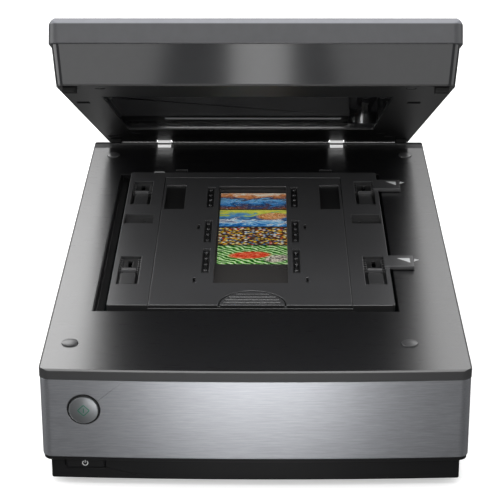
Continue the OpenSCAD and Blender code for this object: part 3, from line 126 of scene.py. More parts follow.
class ScannerStudio(bpy.types.PropertyGroup):
    """Camera and light of the studio."""
    lens: FloatProperty(name="Lens", description="Focal length on a 36 mm sensor",
                        default=136.94, min=10, unit="CAMERA")
    camera_place: FloatVectorProperty(name="Camera", description="Place of the camera", size=3,
                                      subtype="TRANSLATION", unit="LENGTH",
                                      default=(0.00851, -1.45605, 0.69058))
    camera_down: FloatProperty(name="Tilt", description="How far the camera looks down",
                               subtype="ANGLE", default=0.3944)
    camera_turn: FloatProperty(name="Turn", description="How far the camera is turned left",
                               subtype="ANGLE", default=0.0099)
    camera_roll: FloatProperty(name="Roll", description="Roll of the camera",
                               subtype="ANGLE", default=-0.0024)
    sky: FloatProperty(name="Sky", description="Brightness of the surroundings",
                       default=0.30, min=0)


# ---------------------------------------------------------------- shader effects

def effect_group(name, inputs, outputs):
    """An empty shader node group with its sockets: (tree, group input, group output)."""
    tree = bpy.data.node_groups.new(name, "ShaderNodeTree")
    for label, kind, value in inputs:
        socket = tree.interface.new_socket(label, in_out="INPUT", socket_type=kind)
        if value is not None:
            socket.default_value = value
    for label, kind in outputs:
        tree.interface.new_socket(label, in_out="OUTPUT", socket_type=kind)
    return tree, tree.nodes.new("NodeGroupInput"), tree.nodes.new("NodeGroupOutput")


def fill(tree, socket, value):
    """Feeds a socket from another one, or sets its value."""
    if isinstance(value, bpy.types.NodeSocket):
        tree.links.new(value, socket)
    else:
        socket.default_value = value


def node_in(tree, kind, inputs=None, **settings):
    """Adds a node: settings are its options, inputs the values or sources of its sockets."""
    node = tree.nodes.new(kind)
    for key, value in settings.items():
        setattr(node, key, value)
    for socket, value in (inputs or {}).items():
        fill(tree, node.inputs[socket], value)
    return node


def math_in(tree, operation, *values):
    """Output of a Math node."""
    return node_in(tree, "ShaderNodeMath", dict(enumerate(values)), operation=operation).outputs[0]


def noise_in(tree, vector, scale, detail, roughness, distortion=0.0):
    """Noise of a position."""
    return node_in(tree, "ShaderNodeTexNoise", {
        "Vector": vector, "Scale": scale, "Detail": detail, "Roughness": roughness,
        "Distortion": distortion}).outputs["Fac"]


def moulded_grain():
    """Fine spark-eroded grain of moulded plastic: two noises of the position, one fine for
    the height and one twenty times coarser for a faint shade."""
    tree, start, end = effect_group(
        "Moulded grain",
        [("Position", "NodeSocketVector", None), ("Grains", "NodeSocketFloat", 2600.0)],
        [("Height", "NodeSocketFloat"), ("Shade", "NodeSocketFloat")])
    place, grains = start.outputs["Position"], start.outputs["Grains"]
    fine = noise_in(tree, place, grains, 2.0, 0.6)
    coarse = noise_in(tree, place, math_in(tree, "MULTIPLY", grains, 0.05), 3.0, 0.55)
    tree.links.new(fine, end.inputs["Height"])
    tree.links.new(coarse, end.inputs["Shade"])
    return tree


def brushed_lines():
    """Brushing along X: noise of the position with X squeezed to a thirtieth, so that each
    grain becomes a long streak, plus a slower and softer set of streaks."""
    tree, start, end = effect_group(
        "Brushed lines",
        [("Position", "NodeSocketVector", None), ("Lines", "NodeSocketFloat", 1500.0)],
        [("Height", "NodeSocketFloat"), ("Streak", "NodeSocketFloat")])
    squeezed = node_in(tree, "ShaderNodeVectorMath",
                       {0: start.outputs["Position"], 1: (0.035, 1.0, 1.0)},
                       operation="MULTIPLY").outputs[0]
    lines = start.outputs["Lines"]
    fine = noise_in(tree, squeezed, lines, 3.0, 0.7)
    slow = noise_in(tree, squeezed, math_in(tree, "MULTIPLY", lines, 0.45), 2.0, 0.5)
    tree.links.new(fine, end.inputs["Height"])
    tree.links.new(math_in(tree, "MULTIPLY", fine, slow), end.inputs["Streak"])
    return tree


def soft_cloud():
    """Slow change between two values, as handling leaves on a gloss: a map of soft noise."""
    tree, start, end = effect_group(
        "Soft cloud",
        [("Position", "NodeSocketVector", None), ("Clouds", "NodeSocketFloat", 18.0),
         ("Low", "NodeSocketFloat", 0.3), ("High", "NodeSocketFloat", 0.4)],
        [("Value", "NodeSocketFloat")])
    noise = noise_in(tree, start.outputs["Position"], start.outputs["Clouds"], 1.0, 0.5)
    spread = node_in(tree, "ShaderNodeMapRange",
                     {"Value": noise, "From Min": 0.2, "From Max": 0.8,
                      "To Min": start.outputs["Low"], "To Max": start.outputs["High"]})
    tree.links.new(spread.outputs["Result"], end.inputs["Value"])
    return tree


def fine_specks():
    """Small separate specks, such as pores or dust: cells of a Voronoi pattern whose random
    value is above a limit and whose distance from the cell's point is small."""
    tree, start, end = effect_group(
        "Fine specks",
        [("Position", "NodeSocketVector", None), ("Specks", "NodeSocketFloat", 900.0),
         ("Share", "NodeSocketFloat", 0.1)],
        [("Mask", "NodeSocketFloat")])
    cells = node_in(tree, "ShaderNodeTexVoronoi",
                    {"Vector": start.outputs["Position"], "Scale": start.outputs["Specks"]})
    split = node_in(tree, "ShaderNodeSeparateColor", {"Color": cells.outputs["Color"]})
    chosen = math_in(tree, "LESS_THAN", split.outputs["Red"], start.outputs["Share"])
    near = node_in(tree, "ShaderNodeMapRange", {"Value": cells.outputs["Distance"],
                    "From Min": 0.18, "From Max": 0.34, "To Min": 1.0, "To Max": 0.0})
    mask = math_in(tree, "MULTIPLY", chosen, near.outputs["Result"])
    tree.links.new(mask, end.inputs["Mask"])
    return tree


EFFECTS = {}


def effect_tree(maker):
    """The effect's node group, built once."""
    if maker.__name__ not in EFFECTS:
        EFFECTS[maker.__name__] = maker()
    return EFFECTS[maker.__name__]


# ---------------------------------------------------------------- finishes

class Finish:
    """A material in the making: its tree, its Principled shader and the object's position."""

    def __init__(self, name, **sockets):
        self.material = bpy.data.materials.new(name)
        self.material.use_nodes = True
        self.tree = self.material.node_tree
        self.tree.nodes.clear()
        self.shader = self.tree.nodes.new("ShaderNodeBsdfPrincipled")
        output = self.tree.nodes.new("ShaderNodeOutputMaterial")
        self.tree.links.new(self.shader.outputs["BSDF"], output.inputs["Surface"])
        self.place = self.tree.nodes.new("ShaderNodeTexCoord").outputs["Object"]
        for label, value in sockets.items():
            self.shader.inputs[label.replace("_", " ")].default_value = value

    def add(self, kind, inputs=None, **settings):
        """Adds a node to the material."""
        return node_in(self.tree, kind, inputs, **settings)

    def math(self, operation, *values):
        """Output of a Math node."""
        return math_in(self.tree, operation, *values)

    def noise(self, vector, *values):
        """Noise of a position: its scale, detail, roughness and distortion."""
        return noise_in(self.tree, vector, *values)

    def axis(self, letter, vector=None):
        """One coordinate of a position, which is the object's unless another is given."""
        return self.add("ShaderNodeSeparateXYZ", {"Vector": vector or self.place}).outputs[letter]

    def effect(self, maker, **values):
        """Places an effect's group, fed with the position, and returns its outputs."""
        return self.add("ShaderNodeGroup", {"Position": self.place, **values},
                        node_tree=effect_tree(maker)).outputs

    def shades(self, share, first, second):
        """Colour that goes from first to second by a share."""
        first, second = (value if isinstance(value, bpy.types.NodeSocket) else (*value, 1.0)
                         for value in (first, second))
        return self.add("ShaderNodeMix", {"Factor": share, 6: first, 7: second},
                        data_type="RGBA").outputs[2]

    def ramp(self, share, stops, mode="LINEAR"):
        """Colour looked up in a row of stops, each (place, colour)."""
        node = self.add("ShaderNodeValToRGB", {"Fac": share})
        ramp = node.color_ramp
        ramp.interpolation = mode
        while len(ramp.elements) < len(stops):
            ramp.elements.new(0.5)
        for element, (place, value) in zip(ramp.elements, stops):
            element.position = place
            element.color = (*value, 1.0)
        return node.outputs["Color"]

    def span(self, value, low, high, to_low=0.0, to_high=1.0):
        """A value mapped from one span to another."""
        return self.add("ShaderNodeMapRange", {"Value": value,
                         "From Min": low, "From Max": high, "To Min": to_low,
                         "To Max": to_high}).outputs["Result"]

    def bump(self, height, depth_mm, strength=0.5):
        """Feeds the shader's normal from a height."""
        node = self.add("ShaderNodeBump", {"Height": height,
                         "Strength": strength, "Distance": depth_mm * MM})
        self.feed("Normal", node.outputs["Normal"])

    def feed(self, label, source):
        """Feeds one of the shader's inputs."""
        self.tree.links.new(source, self.shader.inputs[label])


def darker(value, share):
    """A colour scaled by a share."""
    return tuple(min(1.0, c * share) for c in value)


def moulded(name, base, low, high, grains=2600.0, depth=0.02, variation=0.12, **sockets):
    """Moulded plastic: fine grain, faint shade and a roughness that changes slowly."""
    made = Finish(name, **sockets)
    grain = made.effect(moulded_grain, Grains=grains)
    made.feed("Base Color", made.shades(grain["Shade"], darker(base, 1 - variation),
                                        darker(base, 1 + variation)))
    made.feed("Roughness", made.effect(soft_cloud, Low=low, High=high)["Value"])
    made.bump(grain["Height"], depth)
    return made.material


def bare_metal(name, base, low, high, lines=900.0, depth=0.006, **sockets):
    """Drawn or plated metal with faint lines."""
    made = Finish(name, Metallic=1.0, **sockets)
    lines_out = made.effect(brushed_lines, Lines=lines)
    made.feed("Base Color", made.shades(lines_out["Streak"], darker(base, 0.88), base))
    made.feed("Roughness", made.effect(soft_cloud, Clouds=40.0, Low=low, High=high)["Value"])
    made.bump(lines_out["Height"], depth, 0.3)
    return made.material


def hairline(name, base, low, high, contrast, depth, recess_shade=None, **sockets):
    """Satin surface with fine streaks along X in its tone and its gloss. Given a pair of
    heights, it is darker below the lower one: painted shade in the recesses under the top face."""
    made = Finish(name, **sockets)
    lines = made.effect(brushed_lines, Lines=3000.0)
    share = made.span(lines["Streak"], 0.1, 0.42)
    tone = made.shades(share, darker(base, 1 - contrast), darker(base, 1 + contrast))
    # Painted shade: below the lower height the colour falls to a fifth.
    if recess_shade:
        tone = made.shades(made.span(made.axis("Z"), recess_shade[0] * MM, recess_shade[1] * MM),
                           darker(base, 0.2), tone)
    made.feed("Base Color", tone)
    made.feed("Roughness", made.span(lines["Streak"], 0.1, 0.42, low, high))
    made.bump(lines["Height"], depth, 0.3)
    return made


def brushed_panel(colours):
    """Silver panel brushed along its length, so that its gloss spreads up and down."""
    made = hairline("brushed_silver", colours.panel, 0.46, 0.54, 0.14, 0.010,
                    Metallic=1.0, Anisotropic=0.5, Anisotropic_Rotation=0.25)
    tangent = made.add("ShaderNodeTangent", direction_type="RADIAL", axis="Z")
    made.feed("Tangent", tangent.outputs[0])
    return made.material


def lid_paint_and_highlight(name, lower, upper, change, gloss, depth, **sockets):
    """Satin paint on the lid that turns from lower to upper between two heights over the
    underside, and back between two more where change holds four. On the lid case, lower is
    the black underside and upper the case's own paint; on the lid top, upper is a lighter
    painted highlight in a band near the top edge, where light from above falls. The height
    is the position's share along the lid's up direction. gloss holds the roughness of lower
    and the least and most of upper."""
    made = Finish(name, **sockets)
    grain = made.effect(moulded_grain)
    height = made.add("ShaderNodeVectorMath", {0: made.place, 1: LID_UP},
                      operation="DOT_PRODUCT").outputs["Value"]
    share = made.span(height, LID_UNDER + change[0] * MM, LID_UNDER + change[1] * MM)
    if len(change) > 2:
        back = made.span(height, LID_UNDER + change[2] * MM, LID_UNDER + change[3] * MM, 1.0, 0.0)
        share = made.math("MULTIPLY", share, back)
    made.feed("Base Color", made.shades(
        share, made.shades(grain["Shade"], darker(lower, 0.85), darker(lower, 1.15)),
        made.shades(grain["Shade"], darker(upper, 0.85), darker(upper, 1.15))))
    cloud = made.effect(soft_cloud, Low=gloss[1], High=gloss[2])["Value"]
    made.feed("Roughness", made.add("ShaderNodeMapRange", {"Value": share, "To Max": cloud,
                                     "To Min": gloss[0]}).outputs["Result"])
    made.bump(grain["Height"], depth, 0.3)
    return made.material


def top_shell(colours):
    """Dark satin top cover, dull on its upright faces and on its shelf under the hinge. The
    shelf's last 6 mm are set metallic on the dark base colour, so they hardly reflect: painted
    shade that keeps the gap under the lid black."""
    made = hairline("dark_shell", colours.shell, 0.27, 0.30, 0.1, 0.002,
                    Specular_IOR_Level=0.9, Coat_Roughness=0.26)
    y, z = made.axis("Y"), made.axis("Z")
    shelf = made.span(y, SHELF_Y * MM, (SHELF_Y + 3) * MM)
    upright = made.span(z, (TOP - 0.8) * MM, (TOP - 1.4) * MM)
    dull = made.math("MAXIMUM", shelf, upright)
    gloss = made.shader.inputs["Roughness"].links[0].from_socket
    made.feed("Roughness", made.add("ShaderNodeMix", {0: dull, 2: gloss, 3: 0.8}).outputs[0])
    made.feed("Coat Weight", made.span(dull, 0.0, 1.0, 0.3, 0.0))
    # Painted shade: metallic on the dark base blacks out the shelf's last mm under the lid.
    made.feed("Metallic", made.math(
        "MULTIPLY", made.span(y, (REAR_Y - 8) * MM, (REAR_Y - 6) * MM),
        made.span(z, (TOP - 0.8) * MM, (TOP - 0.4) * MM)))
    return made.material


def post_painted_highlights():
    """Hinge posts with painted highlights: two white bands at their foot that glow a little,
    standing in for polished plating catching the light, on dark metal.
    """
    # Painted highlights: the bands are white, not metallic and glowing, where the plating would
    # catch the light.
    made = Finish("post_painted_highlights", Emission_Strength=0.55)
    share = made.span(made.axis("Z"), TOP * MM, (TOP + 10) * MM)
    bands = made.ramp(share, [(0.0, (1, 1, 1)), (0.24, (1, 1, 1)), (0.30, (0, 0, 0)),
                              (0.40, (0, 0, 0)), (0.46, (1, 1, 1)), (0.66, (1, 1, 1)),
                              (0.72, (0, 0, 0))])
    made.feed("Base Color", made.shades(bands, (0.03, 0.03, 0.032), (0.92, 0.92, 0.93)))
    made.feed("Emission Color", bands)
    made.feed("Metallic", made.span(bands, 0.0, 1.0, 1.0, 0.0))
    made.feed("Roughness", made.effect(soft_cloud, Clouds=40.0, Low=0.08, High=0.14)["Value"])
    return made.material


def circuit_board(name, top_mm):
    """Green lacquered board with faint tracks. Above its upper face the parts are black."""
    made = Finish(name, Specular_IOR_Level=0.5)
    tracks = made.add("ShaderNodeTexBrick", {"Vector": made.place,
                       "Scale": 260.0, "Mortar Size": 0.03, "Color1": (0.01, 0.09, 0.045, 1),
                       "Color2": (0.012, 0.12, 0.055, 1), "Mortar": (0.03, 0.22, 0.10, 1)})
    above = made.math("GREATER_THAN", made.axis("Z"), top_mm * MM)
    made.feed("Base Color", made.shades(above, tracks.outputs["Color"], (0.015, 0.015, 0.016)))
    made.feed("Roughness", made.effect(soft_cloud, Clouds=60.0, Low=0.25, High=0.45)["Value"])
    made.bump(tracks.outputs["Fac"], 0.05, 0.4)
    return made.material


def clear_pane(name, base, roughness, **sockets):
    """Thin glass or clear plastic: mostly see-through, with wiping marks in its gloss."""
    made = Finish(name, Base_Color=(*base, 1.0), Specular_IOR_Level=1.0, **sockets)
    made.feed("Roughness", made.effect(soft_cloud, Clouds=25.0, Low=roughness,
                                       High=roughness + 0.05)["Value"])
    return made.material


def lamp_tube(name):
    """White lamp in its frosted holder, with a faint glow."""
    made = Finish(name, Emission_Strength=0.15)
    frost = made.effect(moulded_grain, Grains=1800.0)
    tone = made.shades(frost["Shade"], (0.78, 0.80, 0.82), (0.90, 0.91, 0.92))
    made.feed("Base Color", tone)
    made.feed("Emission Color", tone)
    made.feed("Roughness", made.span(frost["Height"], 0.2, 0.8, 0.25, 0.4))
    made.bump(frost["Height"], 0.02)
    return made.material


def porous_bronze(name):
    """Sintered bronze with small dark pores."""
    made = Finish(name, Metallic=1.0)
    pores = made.effect(fine_specks, Specks=2500.0, Share=0.35)["Mask"]
    made.feed("Base Color", made.shades(pores, (0.55, 0.36, 0.16), (0.20, 0.12, 0.06)))
    made.feed("Roughness", made.span(pores, 0.0, 1.0, 0.32, 0.6))
    made.bump(pores, -0.03, 0.5)
    return made.material


def picture(name, low, high, paint):
    """Developed picture on the film, with a painted glow of its own colours, as if lit from
    behind. paint gets the finish and the picture's own position, with both sides from 0 to 1,
    and returns the colour."""
    # Painted glow: the emission takes the picture's own colours.
    made = Finish(name, Specular_IOR_Level=0.4, Emission_Strength=0.22)
    scale = [1 / (h - l) / MM for l, h in zip(low, high)]
    spot = made.add("ShaderNodeMapping", {"Vector": made.place,
                     "Scale": (scale[0], scale[1], 1.0),
                     "Location": (-low[0] * MM * scale[0], -low[1] * MM * scale[1], 0.0)})
    tone = paint(made, spot.outputs[0])
    made.feed("Base Color", tone)
    made.feed("Emission Color", tone)
    made.feed("Roughness", made.effect(soft_cloud, Clouds=60.0, Low=0.22, High=0.34)["Value"])
    return made.material


def oval_mask(made, spot, centre, turn, radii):
    """1 inside a turned oval and 0 outside, with a soft edge: the length of the position,
    moved to the centre, turned and divided by the radii."""
    moved = made.add("ShaderNodeMapping", {"Vector": spot,
                      "Location": (*centre, 0.0), "Rotation": (0, 0, turn),
                      "Scale": (radii[0], radii[1], 1.0)}, vector_type="TEXTURE")
    flat = made.add("ShaderNodeVectorMath", {0: moved.outputs[0], 1: (1.0, 1.0, 0.0)},
                    operation="MULTIPLY")
    far = made.add("ShaderNodeVectorMath", {0: flat.outputs[0]}, operation="LENGTH")
    return made.span(far.outputs["Value"], 0.85, 1.1, 1.0, 0.0)


def paint_leaf(made, spot):
    """Red leaf on fans of blades: bands of green and white, and an oval with veins in reds."""
    blades = made.add("ShaderNodeTexWave", {"Vector": spot,
                       "Scale": 5.0, "Distortion": 7.0, "Detail": 3.0, "Detail Scale": 1.2},
                      bands_direction="DIAGONAL").outputs["Fac"]
    greens = made.ramp(blades, [
        (0.05, (0.01, 0.07, 0.01)), (0.40, (0.05, 0.35, 0.03)), (0.75, (0.30, 0.68, 0.12)),
        (0.95, (0.75, 0.90, 0.60))])
    veins = made.noise(spot, 14.0, 5.0, 0.7, 1.5)
    reds = made.ramp(veins, [(0.30, (0.25, 0.01, 0.01)), (0.50, (0.85, 0.06, 0.02)),
                             (0.68, (0.95, 0.50, 0.25))])
    mask = oval_mask(made, spot, (0.46, 0.48), 0.16, (0.30, 0.19))
    second = oval_mask(made, spot, (0.84, 0.30), -0.5, (0.15, 0.22))
    stones = made.ramp(made.noise(spot, 26.0, 3.0, 0.6, 1.0), [
        (0.42, (0.03, 0.02, 0.02)), (0.56, (0.80, 0.74, 0.60))])
    return made.shades(second, made.shades(mask, greens, reds), stones)


def paint_beads(made, spot):
    """Heap of coloured beads: Voronoi cells, each of one tone, darker towards their rims."""
    cells = made.add("ShaderNodeTexVoronoi", {"Vector": spot, "Scale": 19.0})
    pick = made.add("ShaderNodeSeparateColor", {"Color": cells.outputs["Color"]}).outputs["Red"]
    tones = made.ramp(pick, [
        (0.0, (0.95, 0.62, 0.05)), (0.18, (0.95, 0.80, 0.35)), (0.34, (0.85, 0.08, 0.03)),
        (0.44, (0.95, 0.93, 0.85)), (0.62, (0.10, 0.30, 0.55)), (0.74, (0.95, 0.42, 0.05)),
        (0.86, (0.10, 0.05, 0.03))], "CONSTANT")
    rims = made.span(cells.outputs["Distance"], 0.30, 0.62)
    return made.shades(rims, tones, (0.07, 0.03, 0.02))


def paint_coast(made, spot):
    """Coast from above: water, surf and bright growth in strongly bent strips."""
    bends = made.math("MULTIPLY_ADD", made.noise(spot, 3.2, 6.0, 0.62, 1.6), 1.6,
                      made.axis("Y", spot))
    return made.shades(
        oval_mask(made, spot, (0.78, 0.62), 0.6, (0.24, 0.20)),
        made.ramp(made.span(bends, 0.3, 2.0), [
            (0.18, (0.01, 0.03, 0.14)), (0.34, (0.03, 0.22, 0.62)), (0.42, (0.30, 0.62, 0.86)),
            (0.47, (0.92, 0.95, 0.95)), (0.52, (0.02, 0.06, 0.22)), (0.66, (0.10, 0.34, 0.66)),
            (0.74, (0.48, 0.62, 0.08)), (0.86, (0.80, 0.76, 0.12))]),
        made.ramp(made.noise(spot, 12.0, 4.0, 0.6, 2.0), [
            (0.36, (0.10, 0.03, 0.01)), (0.50, (0.85, 0.32, 0.08)), (0.62, (0.95, 0.72, 0.45))]))


def paint_evening(made, spot):
    """Hills at dusk: blue slopes with snow and rocks under an orange sky."""
    rough = made.math("MULTIPLY_ADD", made.noise(spot, 4.0, 7.0, 0.68, 0.9), 1.3,
                      made.axis("Y", spot))
    hills = made.ramp(made.span(rough, 0.3, 1.9), [
        (0.20, (0.25, 0.08, 0.02)), (0.34, (0.02, 0.04, 0.12)), (0.46, (0.04, 0.24, 0.60)),
        (0.54, (0.20, 0.52, 0.85)), (0.62, (0.01, 0.03, 0.10)), (0.74, (0.75, 0.26, 0.06)),
        (0.86, (0.95, 0.80, 0.62))])
    snow = made.span(made.noise(spot, 34.0, 3.0, 0.7, 0.5), 0.60, 0.66)
    return made.shades(snow, hills, (0.90, 0.90, 0.92))


def make_finishes(colours):
    """Every finish of the scanner, by name."""
    return {
        "shell": top_shell(colours),
        "plinth": moulded("black_moulding", colours.plinth, 0.42, 0.55,
                          Specular_IOR_Level=0.3),
        "lid_case": lid_paint_and_highlight("lid_case_paint", colours.plinth, colours.lid_case,
                              (1.0, 1.6), (0.38, 0.07, 0.09), 0.0015),
        # On the lid top, the lighter upper colour is a painted highlight in a band near its top
        # edge.
        "lid_top": lid_paint_and_highlight("lid_top_paint_and_highlight", colours.lid_top, (0.22, 0.226, 0.25),
                             (43.6, 44.0, 47.5, 47.7), (0.44, 0.40, 0.48), 0.010,
                             Specular_IOR_Level=0.6),
        "panel": brushed_panel(colours),
        # The holder's pockets below its top get painted shade.
        "holder": hairline("holder_plastic", colours.holder, 0.33, 0.38, 0.12, 0.003,
                           (HOLDER_TOP - 0.8, HOLDER_TOP - 0.2), Specular_IOR_Level=1.0,
                           Coat_Weight=0.5, Coat_Roughness=0.34).material,
        "caps": moulded("cap_plastic", colours.caps, 0.28, 0.34, Specular_IOR_Level=0.8),
        "start": bare_metal("start_plating", colours.start, 0.34, 0.42, 300.0),
        "start_symbol": moulded("start_green", colours.start_symbol, 0.35, 0.45),
        "print_white": moulded("print_white", (0.78, 0.79, 0.80), 0.4, 0.5),
        "rubber": moulded("rubber", (0.012, 0.012, 0.012), 0.65, 0.8, 1500.0, 0.05,
                          Specular_IOR_Level=0.3),
        "white": moulded("white_moulding", (0.62, 0.62, 0.60), 0.35, 0.45),
        "steel": bare_metal("plain_steel", (0.52, 0.52, 0.53), 0.24, 0.34),
        "posts": post_painted_highlights(),
        "chrome": bare_metal("bright_plating", (0.78, 0.79, 0.81), 0.08, 0.14, 500.0, 0.003),
        "glass": clear_pane("platen_glass", (0.02, 0.03, 0.03), 0.02, Alpha=0.3),
        "smoked": clear_pane("smoked_pane", (0.01, 0.01, 0.012), 0.03, Alpha=0.3),
        "clear": clear_pane("clear_plate", (0.05, 0.05, 0.05), 0.04, Alpha=0.15),
        "bronze": porous_bronze("sintered_bronze"),
        "lamp": lamp_tube("lamp_white"),
        "mirror": bare_metal("mirror_silver", (0.85, 0.86, 0.87), 0.02, 0.05, 200.0, 0.001),
        "main_board": circuit_board("board_green", 12.6),
        "sensor_board": circuit_board("sensor_board_green", 200.0),
        "film": moulded("film_base", (0.060, 0.057, 0.055), 0.24, 0.32, 900.0, 0.004,
                        Specular_IOR_Level=0.6),
    }


# ---------------------------------------------------------------- surfaces and pieces

def turned_surface(outline, scales, heights):
    """Surface over a closed outline: ring k is the outline scaled about its middle by
    scales[k] and raised to heights[k]. A scale of 0 closes it in a pole."""
    outline = np.asarray(outline, float)
    rings = np.asarray(scales, float)[:, None, None] * outline[None]
    lift = np.broadcast_to(np.asarray(heights, float)[:, None, None], (*rings.shape[:2], 1))
    points = np.concatenate([rings, lift], -1)
    return points.reshape(-1, 3), grid_faces(*rings.shape[:2], closed=True)


def grid_faces(rows, columns, closed=False):
    """Quads between neighbouring rows of a grid of points. Closed joins the last column to
    the first."""
    i = np.arange(rows - 1)[:, None] * columns
    last = columns if closed else columns - 1
    j = np.arange(last)[None]
    k = (j + 1) % columns
    quads = np.stack([i + j, i + k, i + columns + k, i + columns + j], -1)
    return quads.reshape(-1, 4)


def circle_outline(radius, count=64):
    """Points round a circle: its radius times the cosine and sine of equal steps."""
    a = np.arange(count) * 2 * math.pi / count
    return np.stack([radius * np.cos(a), radius * np.sin(a)], -1)


def pill_outline(width, depth, count=48):
    """Points round a pill: a circle whose right and left halves are moved apart."""
    ring = circle_outline(depth / 2, count)
    ring[:, 0] += np.sign(np.round(ring[:, 0], 9)) * (width - depth) / 2
    return ring


def soft_corners(corners, radius, count=6):
    """Points round a polygon whose corners are rounded: each corner is a quadratic curve
    between the points at that radius from it along both sides."""
    corners = np.asarray(corners, float)
    before = np.roll(corners, 1, 0) - corners
    after = np.roll(corners, -1, 0) - corners
    start = corners + radius * before / np.linalg.norm(before, axis=1, keepdims=True)
    end = corners + radius * after / np.linalg.norm(after, axis=1, keepdims=True)
    t = np.linspace(0, 1, count)[None, :, None]
    curve = ((1 - t) ** 2 * start[:, None] + 2 * t * (1 - t) * corners[:, None]
             + t * t * end[:, None])
    return curve.reshape(-1, 2)


def swept_band(path, ups, width, rise, closed=False):
    """Flat band along a path: at each point a low arched profile of six points stands on
    ups, across the path. Open ends are closed by a point in the middle."""
    path, ups = np.asarray(path, float), np.asarray(ups, float)
    if closed:
        along = np.roll(path, -1, 0) - np.roll(path, 1, 0)
    else:
        along = np.gradient(path, axis=0)
    along /= np.linalg.norm(along, axis=1, keepdims=True)
    across = np.cross(along, ups)
    across /= np.linalg.norm(across, axis=1, keepdims=True)
    profile = np.array([(-0.5, -1), (-0.5, 0.6), (-0.3, 1), (0.3, 1), (0.5, 0.6), (0.5, -1)])
    points = (path[:, None] + profile[None, :, :1] * width * across[:, None]
              + profile[None, :, 1:] * rise * ups[:, None])
    rows, columns = points.shape[:2]
    if closed:
        points = np.concatenate([points, points[:1]])
        return points.reshape(-1, 3), grid_faces(rows + 1, columns, closed=True)
    ends = points.mean(1, keepdims=True)
    points = np.concatenate([np.repeat(ends[:1], columns, 1), points,
                             np.repeat(ends[-1:], columns, 1)])
    return points.reshape(-1, 3), grid_faces(rows + 2, columns, closed=True)


def joined(*surfaces):
    """Several surfaces as one: their points and faces in one list each."""
    starts = np.cumsum([0] + [len(p) for p, _ in surfaces[:-1]])
    return (np.concatenate([p for p, _ in surfaces]),
            np.concatenate([f + s for (_, f), s in zip(surfaces, starts)]))


def finish_piece(piece, finish, body, replaced=()):
    """Puts a piece in the scene with its finish, body and slot."""
    bpy.context.scene.collection.objects.link(piece)
    piece.data.materials.clear()
    piece.data.materials.append(finish)
    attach(piece, body)
    if replaced:
        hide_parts(*replaced)
    return piece


def new_piece(name, surface, finish, body, replaced=()):
    """A piece from a surface in mm: merged where points meet, with its faces outwards."""
    points, faces = surface
    mesh = bpy.data.meshes.new(name)
    mesh.from_pydata((np.asarray(points) * MM).tolist(), [], np.asarray(faces).tolist())
    work = bmesh.new()
    work.from_mesh(mesh)
    bmesh.ops.remove_doubles(work, verts=work.verts, dist=1e-6)
    bmesh.ops.dissolve_degenerate(work, edges=work.edges, dist=1e-7)
    bmesh.ops.recalc_face_normals(work, faces=work.faces)
    work.to_mesh(mesh)
    work.free()
    mesh.polygons.foreach_set("use_smooth", np.ones(len(mesh.polygons), bool))
    mesh.set_sharp_from_angle(angle=SMOOTH_ANGLE)
    return finish_piece(bpy.data.objects.new(name, mesh), finish, body, replaced)


def rounded_copy(node, name, finish, edge, flat=False):
    """Merged copy of a CAD node, whose Bevel modifier rounds every edge sharper than
    SHARP_ANGLE. With flat, triangles in one plane become one face first."""
    source = frame["nodes"][node]
    mesh = source.data.copy()
    mesh.name = name
    work = bmesh.new()
    work.from_mesh(mesh)
    bmesh.ops.remove_doubles(work, verts=work.verts, dist=1e-6)
    if flat:
        bmesh.ops.dissolve_limit(work, angle_limit=math.radians(0.2), verts=work.verts,
                                 edges=work.edges, use_dissolve_boundaries=False, delimit=set())
    work.to_mesh(mesh)
    work.free()
    for layer in list(mesh.attributes):
        if layer.name == "custom_normal":
            mesh.attributes.remove(layer)
    mesh.polygons.foreach_set("use_smooth", np.ones(len(mesh.polygons), bool))
    mesh.set_sharp_from_angle(angle=SHARP_ANGLE)
    piece = bpy.data.objects.new(name, mesh)
    bevel = piece.modifiers.new("Rounded edges", "BEVEL")
    bevel.width = edge
    bevel.segments = 2
    bevel.limit_method = "ANGLE"
    bevel.angle_limit = SHARP_ANGLE
    bevel.use_clamp_overlap = False
    shading = piece.modifiers.new("Flat faces", "WEIGHTED_NORMAL")
    shading.weight = 100
    shading.keep_sharp = True
    return finish_piece(piece, finish, source["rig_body"], (node,))


def dress(node, finish):
    """Gives a CAD node that stays its finish."""
    mesh = frame["nodes"][node].data
    mesh.materials.clear()
    mesh.materials.append(finish)


FINISHES = {}


# ---------------------------------------------------------------- operators

class ScannerOperator:
    """What the operators share: the scene's settings and the finishes."""
    bl_options = {"REGISTER", "UNDO"}

    def execute(self, context):
        scene = context.scene
        if not FINISHES:
            FINISHES.update(make_finishes(scene.scanner_colours))
        self.build(scene.scanner_sizes, scene)
        return {"FINISHED"}


class SCANNER_OT_base(ScannerOperator, bpy.types.Operator):
    """Top cover, plinth and platen border with rounded edges"""
    bl_idname = "scanner.base"
    bl_label = "Base housings"

    def build(self, sizes, scene):
        rounded_copy("top_cover", "top_cover_shell", FINISHES["shell"], sizes.edge * 0.4,
                     flat=True)
        rounded_copy("base_tray", "plinth_tray", FINISHES["plinth"], sizes.edge)
        rounded_copy("platen_frame", "platen_border", FINISHES["plinth"], sizes.fine_edge)
        dress("platen_glass", FINISHES["glass"])


class SCANNER_OT_panel(ScannerOperator, bpy.types.Operator):
    """Brushed front panel and the ring of the start button"""
    bl_idname = "scanner.panel"
    bl_label = "Front panel"

    def build(self, sizes, scene):
        rounded_copy("front_panel", "brushed_panel", FINISHES["panel"], sizes.edge)
        rounded_copy("start_ring", "start_ring_collar", FINISHES["plinth"], sizes.fine_edge)


